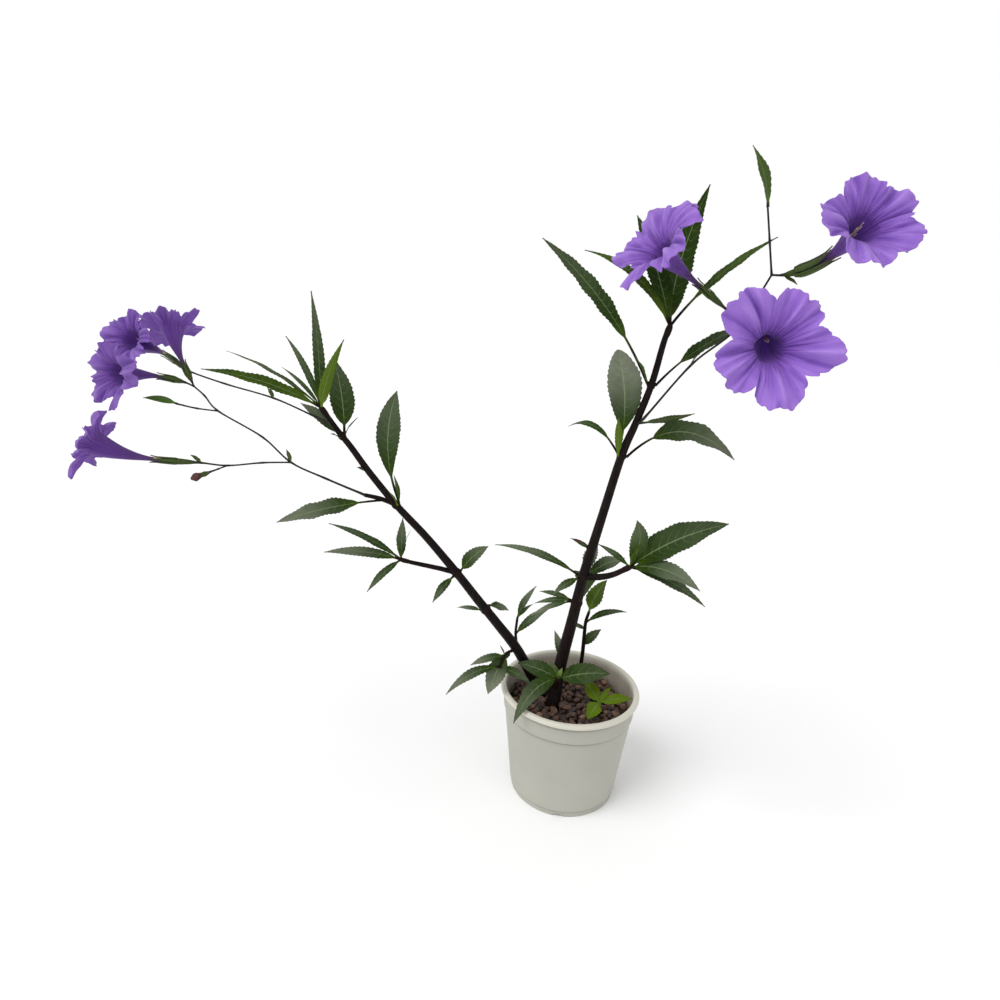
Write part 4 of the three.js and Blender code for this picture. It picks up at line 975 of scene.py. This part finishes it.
def make_corolla(name, flower):
    """A funnel and five lobes as one thin double wall. The tube's radius follows a smooth
    curve through its rows. On the lobes the wall's slope grows in step with the way out from
    the mouth's angle to the curl, so radius and height follow an arc. The way out is cut
    between lobes by the cube of the side, or by an S for narrow lobes, and at each tip by a
    small notch. The side is nought in a lobe's middle and one between lobes. Each lobe has a
    ridge along its middle, two sharp creases, finer folds and a ruffled edge."""
    axis, length = flower_axis(flower)
    seed = np.random.default_rng(int(abs(flower["mouth"][0])) + 3)
    angle = around(PETAL_SIDES)
    side = np.abs((angle * LOBES / math.pi) % 2 - 1)
    turn, long, curl, narrow = lobes_at(flower, angle)
    crease = creased(seed, angle, side)
    tube = catmull(TUBE_ROWS, np.linspace(0, len(TUBE_ROWS) - 1, TUBE_STEPS))[0]
    share, radius, slope = tube.T[:, :, None]
    fold = 1 + FUNNEL_FOLD * share * np.cos(LOBES * angle)
    tube_radius = radius * fold - 0.5 * crease * smooth(share, 0.4, 1.0)
    tube_at = axis(np.maximum(TOUCH_GAP, share[:, 0] * length))
    start = math.radians(MOUTH_ANGLE)
    sweep = np.radians(curl) - start
    bend = long / sweep
    way = np.linspace(0, 1, LOBE_STEPS + 1)[1:, None]
    drop = side**3 + (smooth(side, 0.1, 0.7) - side**3) * narrow
    notch = TIP_NOTCH * np.exp(-((side / TIP_NOTCH_WIDTH) ** 2))
    cleft = (CLEFT_DEPTH + NARROW_CLEFT * narrow) * drop
    spread = way * (1 - cleft - notch + scalloped(seed, angle) * way)
    lobe_slope = start + sweep * spread
    lobe_radius = tube_radius[-1:] + bend * (math.cos(start) - np.cos(lobe_slope))
    ruffle = ruffled(seed, angle, way)
    ridge = RIDGE_HEIGHT * np.exp(-((side / RIDGE_WIDTH) ** 2)) * np.sin(math.pi * way)
    depth = CREASE_DEPTH * np.sin(math.pi * (0.2 + 0.8 * way)).clip(0) ** 0.8
    crinkle = crinkled(seed, angle, way) * smooth(way, 0.0, 0.6)
    wave = LOBE_WAVE * way**2 * np.cos(2 * LOBES * angle) + RUFFLE_HEIGHT * way**1.5 * ruffle
    height = bend * (np.sin(lobe_slope) - math.sin(start)) + wave + ridge + crinkle - depth * crease
    turned = angle + flower["spin"]
    lobe_turned = turned + way * np.radians(turn)
    mouth = axis(length)
    lobes = Stations(np.repeat(mouth.centre, LOBE_STEPS, 0), np.repeat(mouth.heading, LOBE_STEPS, 0), X)
    lobes.across, lobes.beside = (np.repeat(v, LOBE_STEPS, 0) for v in (mouth.across, mouth.beside))

    def wall(depth):
        """The wall moved in by a depth, square to its slope."""
        tube_slope = np.radians(slope)
        low = tube_at.rings(tube_radius - depth * np.cos(tube_slope), turned)
        low = low + tube_at.heading[:, None] * (depth * np.sin(tube_slope))[..., None]
        high = lobes.rings(lobe_radius - depth * np.cos(lobe_slope), lobe_turned)
        rise = height + depth * np.sin(lobe_slope)
        return np.vstack([low, high + lobes.heading[:, None] * rise[..., None]])

    # Heights of ridges and crinkles, which the finish turns into painted highlight and painted shade.
    crest = np.vstack([0 * tube_radius, (ridge + crinkle) / CREST_HEIGHT])
    out = np.append(0.5 * share[:, 0], 0.5 + 0.5 * way[:, 0])[:, None]
    # Where painted shade lies along the creases, strongest midway out.
    crease_shade = crease * np.interp(out, [0.2, 0.5, 0.85], [0.0, 1.0, 0.0])
    grid = np.vstack([wall(0.0), wall(PETAL_THICKNESS)[::-1]])
    inside = np.repeat([0.0, 1.0], len(out))[:, None]
    parts = Parts()
    parts.loft(
        grid, ring=True, out=np.vstack([out, out[::-1]]), side=side, inside=inside, deep=flower["deep"],
        crease=np.vstack([crease_shade, crease_shade[::-1]]), crest=np.vstack([crest, crest[::-1]]),
    )
    return parts.piece(name.replace("flower", "petals"), PETAL, "petal", name)


# Stamens as their angle in the tube and their reach, and the style that is longer
STAMENS = [(0.3, 0.97), (-0.35, 1.0), (0.75, 0.86), (-0.8, 0.88)]
STYLE = (0.0, 1.08)
STYLE_HEAD = 0.7
THREAD_ROWS = 14
THREAD_SIDES = 8
FILAMENT_RADIUS = 0.18
ANTHER_HALF = 1.4
ANTHER_RADIUS = 0.42


def make_anthers(name, flower):
    """Four stamens and a longer style: thin stalks that leave the tube's wall and follow the
    funnel's upper side, with oblong heads."""
    axis, length = flower_axis(flower)
    parts = Parts()
    ring = around(THREAD_SIDES)
    for angle, reach in (*STAMENS, STYLE):
        share = np.linspace(0.2, reach * flower["stamens"], THREAD_ROWS)
        stations = axis(share * length)
        lift = np.interp(share, [0.2, 0.3, 0.5, 1.0], [1.45, 1.2, 1.0, 2.6])
        aim = stations.beside * math.cos(angle) + stations.across * math.sin(angle)
        stations.centre = stations.centre + aim * lift[:, None]
        parts.loft(stations.rings(FILAMENT_RADIUS, ring))
        along = np.linspace(-1, 1, 9)
        head = axis(share[-1] * length + ANTHER_HALF * along)
        head.centre = head.centre + aim[-1] * lift[-1]
        size = STYLE_HEAD if (angle, reach) == STYLE else 1
        swell = ANTHER_RADIUS * size * np.sqrt(1.02 - along**2)
        parts.loft(head.rings(swell[:, None], ring))
    return parts.piece(name.replace("flower", "anthers"), ANTHER, "petal")


SEPAL_ROOT = 1.6
SEPAL_WIDTH = 2.4
SEPAL_ROWS = 16
STALK_SIDES = 10
SEPAL_HALF_THICKNESS = 0.35


def add_calyx(parts, flower):
    """Five narrow sepals that follow the tube from the stalk's end to a point."""
    axis, length = flower_axis(flower)
    way = np.linspace(0, 1, SEPAL_ROWS)
    size = flower["calyx"]
    distances = -SEPAL_ROOT + way * (size * TUBE_ROWS[1, 0] * length + SEPAL_ROOT)
    stations = axis(distances)
    ring = around(STALK_SIDES)
    radius = size * np.interp(way, [0, 0.15, 0.8, 1], [1.6, 2.2, 2.0, 2.5])[:, None]
    half = size * 0.5 * SEPAL_WIDTH * (np.interp(way, [0, 0.2, 0.6, 1], [0.7, 1.0, 0.85, 0.1]))[:, None]
    purple = 0.7 * smooth(way, 0.4, 1)[:, None]
    for k in range(LOBES):
        angle = FULL_TURN * k / LOBES
        out = stations.beside * math.cos(angle) + stations.across * math.sin(angle)
        along = stations.across * math.cos(angle) - stations.beside * math.sin(angle)
        x = half * np.cos(ring)
        z = radius + SEPAL_HALF_THICKNESS * np.sin(ring) + 0.15 * (1 - np.cos(ring) ** 2) - 0.12 * x**2
        grid = stations.centre[:, None] + out[:, None] * z[..., None] + along[:, None] * x[..., None]
        across = np.abs(np.cos(ring)) + 0 * half
        parts.loft(grid[:, ::-1], fresh=0.2, across=across, purple=purple)


THIN_STALK = 0.6
STALK_STEPS = 8
JOINT_SWELL = 0.35
JOINT_HALF = 0.12


def make_spray(name, stems, leaves):
    """Thin stalks with a small joint where they branch, their bracts and their calyces."""
    parts = Parts()
    for stem in stems:
        last = len(STEMS[stem]) - 1
        at = np.linspace(0, last, last * STALK_STEPS + 1)
        stations = along_stem(stem, at)
        joint = JOINT_SWELL * np.exp(-(((at - np.round(at)) / JOINT_HALF) ** 2)) * (at < last - 0.5)
        near_bloom = smooth(stations.radius, 1.15, 1.8)[:, None]
        radius = (stations.radius + joint)[:, None] * (THIN_STALK + (1 - THIN_STALK) * near_bloom)
        parts.loft(stations.rings(radius, around(STALK_SIDES)), bark=1 - near_bloom, across=1.0)
    for flower in FLOWERS.values():
        if flower["stalk"] in stems:
            add_calyx(parts, flower)
    for stem, at, shape in leaves:
        add_leaf(parts, along_stem(stem, at).centre[0], shape)
    return parts.piece(name + "_green", STALK, "stalk", name)


SPENT_LENGTH = 12.0
SPENT_ROWS = 34
SPENT_SIDES = 28


def make_spent_bloom():
    """A crumpled bag in a slim calyx: rings of uneven radius with folds that twist along it."""
    past = np.linspace(0.05 - TOUCH_GAP, SPENT_LENGTH, SPENT_ROWS)
    radius = np.interp(past, [0, 2.5, 4.5, 7, 9.5, 12], [1.1, 1.9, 1.5, 2.6, 2.7, 0.6])[:, None]
    stem = "left_spent_stalk"
    end = np.full(len(past), len(STEMS[stem]) - 1.0)
    stations = along_stem(stem, end, TOUCH_GAP + past)
    angles = around(SPENT_SIDES)
    folds = 0.14 * np.sin(5 * angles + 0.5 * past[:, None])
    crumple = 1 + folds + 0.08 * np.sin(9 * angles - past[:, None])
    parts = Parts()
    parts.loft(stations.rings(radius * crumple * 0.95, angles), calyx=1 - smooth(past, 3.6, 5.2)[:, None])
    return parts.piece("spent_bloom_petals", WITHERED, "withered", "spent_bloom")


# Pot and pebbles


def arc(centre, radius, start, stop, count):
    """Points of radius and height on an arc, by angles in degrees."""
    angles = np.radians(np.linspace(start, stop, count))
    return np.stack([centre[0] + radius * np.cos(angles), centre[1] + radius * np.sin(angles)], -1)


def run(first, last, count):
    """Points in a straight line from first to last."""
    return np.linspace(first, last, count)


def pot_outline():
    """Points of radius and height: the outside from the pad under the floor up to the rolled
    rim, and the inside from there down to the middle of the floor."""
    band = POT_HEIGHT - COLLAR_HEIGHT
    outer_foot = (FOOT_RADIUS + 0.4, FOOT_HEIGHT)
    inner_foot = (FOOT_RADIUS - WALL + 0.4, FLOOR_HEIGHT + 3)
    outside = np.vstack([
        run((0.6 * CENTRE_PAD_RADIUS, 0), (CENTRE_PAD_RADIUS - 0.2, 0), 3),
        run((CENTRE_PAD_RADIUS, 0.2), (CENTRE_PAD_RADIUS, FOOT_RECESS), 3),
        run((CENTRE_PAD_RADIUS + 0.3, FOOT_RECESS), (FOOT_RADIUS - 4.3, FOOT_RECESS), 12),
        run((FOOT_RADIUS - 4, FOOT_RECESS - 0.3), (FOOT_RADIUS - 3.6, 0.25), 3),
        run((FOOT_RADIUS - 3.3, 0), (FOOT_RADIUS - 0.9, 0), 3),
        run((FOOT_RADIUS - 0.6, 0.25), (FOOT_RADIUS - 0.4, FOOT_HEIGHT - 0.9), 4),
        run((FOOT_RADIUS - 0.3, FOOT_HEIGHT - 0.5), (FOOT_RADIUS + 0.1, FOOT_HEIGHT - 0.25), 3),
        run((outer_foot[0], FOOT_HEIGHT + 0.1), (outer_foot[0] + 0.1, FOOT_HEIGHT + 1.2), 4),
        run((outer_foot[0] + 0.3, FOOT_HEIGHT + 2.5), (SHOULDER_RADIUS - 0.15, band - 1.2), 24),
        run((SHOULDER_RADIUS - 0.1, band - 0.8), (SHOULDER_RADIUS - 0.05, band - 0.2), 3),
        run((SHOULDER_RADIUS + 0.6, band), (SHOULDER_RADIUS + 0.8, band + 0.5), 3),
        run((SHOULDER_RADIUS + 0.95, band + 0.9), (RIM_RADIUS - 3.2, POT_HEIGHT - 5.6), 6),
        run((RIM_RADIUS - 3.0, POT_HEIGHT - 5.25), (RIM_RADIUS - 1.9, POT_HEIGHT - 4.9), 3),
        arc((RIM_RADIUS - 2.35, POT_HEIGHT - 2.45), 2.35, -62, 100, 14),
    ])
    inside = np.vstack([
        arc((RIM_RADIUS - 2.9, POT_HEIGHT - 2.1), 2.1, 108, 168, 6),
        run((RIM_RADIUS - 5.1, POT_HEIGHT - 3.2), (SHOULDER_RADIUS - WALL, band), 6)[1:],
        run((SHOULDER_RADIUS - WALL - 0.05, band - 0.5), inner_foot, 16),
        run((inner_foot[0] - 0.8, FLOOR_HEIGHT + 0.8), (FOOT_RADIUS - WALL - 2, FLOOR_HEIGHT), 3),
        run((FOOT_RADIUS - WALL - 3, FLOOR_HEIGHT), (3, FLOOR_HEIGHT), 8),
    ])
    return outside, inside


def make_pot():
    """The outline turned about the axis. Where a notch crosses the foot ring, the ring's
    bottom is lifted to the recess by a steep S of the angle. The marks for the finish are one
    for the painted highlight on the rolled rim, one on the inside and, by
    exp(-(away / width)^2), one for the painted shade in the grooves."""
    outside, inside = pot_outline()
    outline = np.vstack([outside, inside])
    angles = around(POT_SIDES)
    radius, height = outline[:, :1], outline[:, 1:]
    from_notch = np.abs((angles / FULL_TURN * NOTCH_COUNT + 0.5) % 1 - 0.5)
    from_notch = from_notch * FULL_TURN / NOTCH_COUNT * FOOT_RADIUS
    notch = 1 - smooth(from_notch, 0.5 * NOTCH_WIDTH - 0.4, 0.5 * NOTCH_WIDTH + 0.4)
    on_ring = (radius > FOOT_RADIUS - 4.1) & (height < FOOT_RECESS)
    lifted = height + (FOOT_RECESS - height) * notch * on_ring
    grid = np.stack([radius * np.cos(angles), radius * np.sin(angles), lifted + 0 * angles], -1)
    # The rolled rim, where a highlight is painted.
    lip = smooth(height, POT_HEIGHT - 5.5, POT_HEIGHT - 4.5) * (radius > RIM_RADIUS - 5)
    inner = np.repeat([0.0, 1.0], (len(outside), len(inside)))[:, None] * (1 - lip)
    # Heights of the grooves, where shade is painted in lines.
    grooves = (POT_HEIGHT - COLLAR_HEIGHT - 0.5, FOOT_HEIGHT, POT_HEIGHT - 5.4)
    groove = sum(np.exp(-(((height - line) / GROOVE_SHADE_WIDTH) ** 2)) for line in grooves) * (1 - inner)
    parts = Parts()
    parts.loft(grid, lip=lip, inner=inner, groove=groove)
    pot = parts.piece("pot_shell", POT, "pot_plastic", "pot")
    drill_drains(pot)
    return pot


def drill_drains(pot):
    """Cuts the ring of drain holes out of the floor."""
    drill = Parts()
    for k in range(DRAIN_COUNT):
        angle = FULL_TURN * (k + 0.5) / DRAIN_COUNT
        centre = np.array([math.cos(angle), math.sin(angle), 0]) * DRAIN_CIRCLE
        post = Stations(centre + np.array([[0, 0, -1.0], [0, 0, FLOOR_HEIGHT + 1]]), np.array([Z, Z]), Y)
        drill.loft(post.rings(DRAIN_RADIUS, around(DRAIN_SIDES)))
    cutter = bpy.data.objects.new("drains", bpy.data.meshes.new("drains"))
    cutter.data.from_pydata((np.vstack(drill.points) * MM).tolist(), [], drill.faces)
    bpy.context.scene.collection.objects.link(cutter)
    holes = pot.modifiers.new("drains", "BOOLEAN")
    holes.object, holes.solver = cutter, "EXACT"
    cut = bpy.data.meshes.new_from_object(pot.evaluated_get(bpy.context.evaluated_depsgraph_get()))
    pot.modifiers.clear()
    pot.data = cut
    bpy.data.objects.remove(cutter)


PEBBLE_ROWS = 6
PEBBLE_SIDES = 9
FACETS = 7
FACET_SHARPNESS = 7.0
PEBBLE_SHAKE = 0.28
LAYER_SHAKE = 0.8
STEM_CLEARANCE = 0.62
PEBBLE_TILT = 0.3


def stones(count):
    """Rounded stones of unit size on a small sphere of rows and columns. Each is bounded by
    planes at distances d: its radius in a direction n is sum(max(0, n.plane / d)^p)^(-1/p),
    over the six sides of a box and a few random planes."""
    polar = (np.arange(PEBBLE_ROWS) + 0.5)[:, None] * math.pi / PEBBLE_ROWS
    angle = around(PEBBLE_SIDES)
    across, down = np.sin(polar), -np.cos(polar) + 0 * angle
    ball = np.stack([across * np.cos(angle), across * np.sin(angle), down], -1)
    box = np.repeat(np.vstack([np.eye(3), -np.eye(3)])[None], count, 0)
    planes = np.concatenate([box, unit(random.normal(0, 1, (count, FACETS, 3)))], 1)
    away = random.uniform(0.82, 1.12, planes.shape[:2])
    facing = np.einsum("ijk,nfk->nijf", ball, planes) / away[:, None, None]
    radius = (facing.clip(0) ** FACET_SHARPNESS).sum(-1) ** (-1 / FACET_SHARPNESS)
    return ball * radius[..., None]


def shaken_lattice(height, pitch):
    """The points of a triangular lattice at a height, each moved a little at random."""
    reach = math.ceil(BED_RADIUS / pitch) + 1
    i, j = np.meshgrid(np.arange(-reach, reach + 1), np.arange(-2 * reach, 2 * reach + 1))
    x = pitch * (j + 0.5 * i).ravel()
    y = pitch * math.sqrt(0.75) * i.ravel()
    points = np.stack([x, y, np.full(x.shape, height)], -1)
    shake = (PEBBLE_SHAKE * pitch, PEBBLE_SHAKE * pitch, LAYER_SHAKE)
    return points + random.uniform(-1, 1, points.shape) * shake


def make_pebbles():
    """Layers of pebbles, stretched, tilted and turned at random. None lies in a stem."""
    stems = [along_stem(stem, np.linspace(0, 1.5, 16)) for stem in ("right", "left", "back", "seedling")]
    parts = Parts()
    for height, pitch in PEBBLE_LAYERS:
        centre = shaken_lattice(height, pitch)
        kept = np.hypot(centre[:, 0], centre[:, 1]) < BED_RADIUS - 0.9 * PEBBLE_SIZE
        for stem in stems:
            gaps = np.linalg.norm(centre[:, None] - stem.centre[None], axis=-1) - stem.radius[None]
            kept &= gaps.min(1) > STEM_CLEARANCE * PEBBLE_SIZE
        centre = centre[kept]
        count = len(centre)
        size = PEBBLE_SIZE * random.uniform(0.8, 1.2, (count, 1))
        size = size * random.uniform((1, 0.75, 0.6), (1.35, 1, 0.8), (count, 3))
        local = stones(count) * size[:, None, None]
        spin = random.uniform(0, FULL_TURN, (count, 1, 1))
        tilt = random.normal(0, PEBBLE_TILT, (count, 1, 1))
        a, b, c = np.moveaxis(local, -1, 0)
        b, c = b * np.cos(tilt) - c * np.sin(tilt), b * np.sin(tilt) + c * np.cos(tilt)
        a, b = a * np.cos(spin) - b * np.sin(spin), a * np.sin(spin) + b * np.cos(spin)
        placed = np.stack([a, b, c], -1) + centre[:, None, None]
        for stone, shade in zip(placed, random.beta(1.6, 2.0, count)):
            parts.loft(stone, shade=shade)
    return parts.piece("pebble_bed", PEBBLE, "pebbles", "gravel")


# The plant

LEAF, BARK, STALK, PETAL = leaf_finish(), bark_finish(), stalk_finish(), petal_finish()
ANTHER, WITHERED, PEBBLE, POT = anther_finish(), withered_finish(), pebble_finish(), pot_finish()

make_pot()
make_pebbles()
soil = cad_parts["potting_mix"]
soil.data.materials.clear()
soil.data.materials.append(soil_finish())

for piece_name, stem_names in WOODY_STEMS.items():
    make_woody_stem(piece_name, stem_names)
for piece_name, (stem_name, place, shapes) in WHORLS.items():
    make_whorl(piece_name, stem_name, place, shapes)
for piece_name, (stem_names, shapes) in SHOOTS.items():
    make_shoot(piece_name, stem_names, shapes)
for piece_name, (stem_names, shapes) in SPRAYS.items():
    make_spray(piece_name, stem_names, shapes)
for piece_name, flower in FLOWERS.items():
    make_corolla(piece_name, flower)
    make_anthers(piece_name, flower)
make_spent_bloom()


# Floor, light and camera

FLOOR_REACH = 6.0
LENS = 23.4
SENSOR_WIDTH = 36.0
CAMERA_PLACE = Vector((0, -0.501, 0.416))
SUN_FROM = Vector((-0.55, -0.5, 1.0))
SUN_STRENGTH = 1.5
SUN_SOFTNESS = 0.6
SKY_OVERHEAD = 0.5
CAMERA_PITCH, CAMERA_YAW, CAMERA_ROLL = (math.radians(v) for v in (-17.0, 7.9, 2.9))


def add_floor():
    """A wide white floor under the pot."""
    mesh = bpy.data.meshes.new("floor")
    corners = [(x * FLOOR_REACH, y * FLOOR_REACH, 0) for x, y in ((-1, -1), (1, -1), (1, 1), (-1, 1))]
    mesh.from_pydata(corners, [], [(0, 1, 2, 3)])
    paint = Paint("floor_white", Roughness=0.9)
    white = paint.blend(paint.noise(2, 2), tint("#fbfbfb"), tint("#fdfdfd"))
    mesh.materials.append(paint.finish(Base_Color=white))
    floor = bpy.data.objects.new("floor", mesh)
    bpy.context.scene.collection.objects.link(floor)


def add_sun():
    """A soft sun from the upper left of the front."""
    data = bpy.data.lights.new("sun", "SUN")
    data.energy, data.angle = SUN_STRENGTH, SUN_SOFTNESS
    lamp = bpy.data.objects.new("sun", data)
    lamp.rotation_euler = (-SUN_FROM).to_track_quat("-Z", "Y").to_euler()
    bpy.context.scene.collection.objects.link(lamp)


def add_sky():
    """White near the horizon and dimmer overhead, so that forms keep their shade."""
    world = bpy.data.worlds.new("studio")
    world.use_nodes = True
    nodes, links = world.node_tree.nodes, world.node_tree.links
    where, split = nodes.new("ShaderNodeTexCoord"), nodes.new("ShaderNodeSeparateXYZ")
    fade = nodes.new("ShaderNodeMapRange")
    fade.interpolation_type = "SMOOTHSTEP"
    limits = {"From Min": 0.5, "From Max": 0.75, "To Min": 1.0, "To Max": SKY_OVERHEAD}
    for name, value in limits.items():
        fade.inputs[name].default_value = value
    links.new(where.outputs["Generated"], split.inputs["Vector"])
    links.new(split.outputs["Z"], fade.inputs["Value"])
    links.new(fade.outputs["Result"], nodes["Background"].inputs["Strength"])
    nodes["Background"].inputs["Color"].default_value = (1, 1, 1, 1)
    bpy.context.scene.world = world


def add_camera():
    """The view of the photograph: turned left by the yaw, down by the pitch, then rolled."""
    data = bpy.data.cameras.new("camera")
    data.lens, data.sensor_width = LENS, SENSOR_WIDTH
    camera = bpy.data.objects.new("camera", data)
    turn = (
        Matrix.Rotation(CAMERA_YAW, 4, "Z") @ Matrix.Rotation(math.pi / 2 + CAMERA_PITCH, 4, "X")
        @ Matrix.Rotation(CAMERA_ROLL, 4, "Z")
    )
    camera.matrix_world = Matrix.Translation(CAMERA_PLACE) @ turn
    bpy.context.scene.collection.objects.link(camera)
    bpy.context.scene.camera = camera


add_floor()
add_sun()
add_sky()
add_camera()
bpy.context.scene.view_settings.view_transform = "Standard"
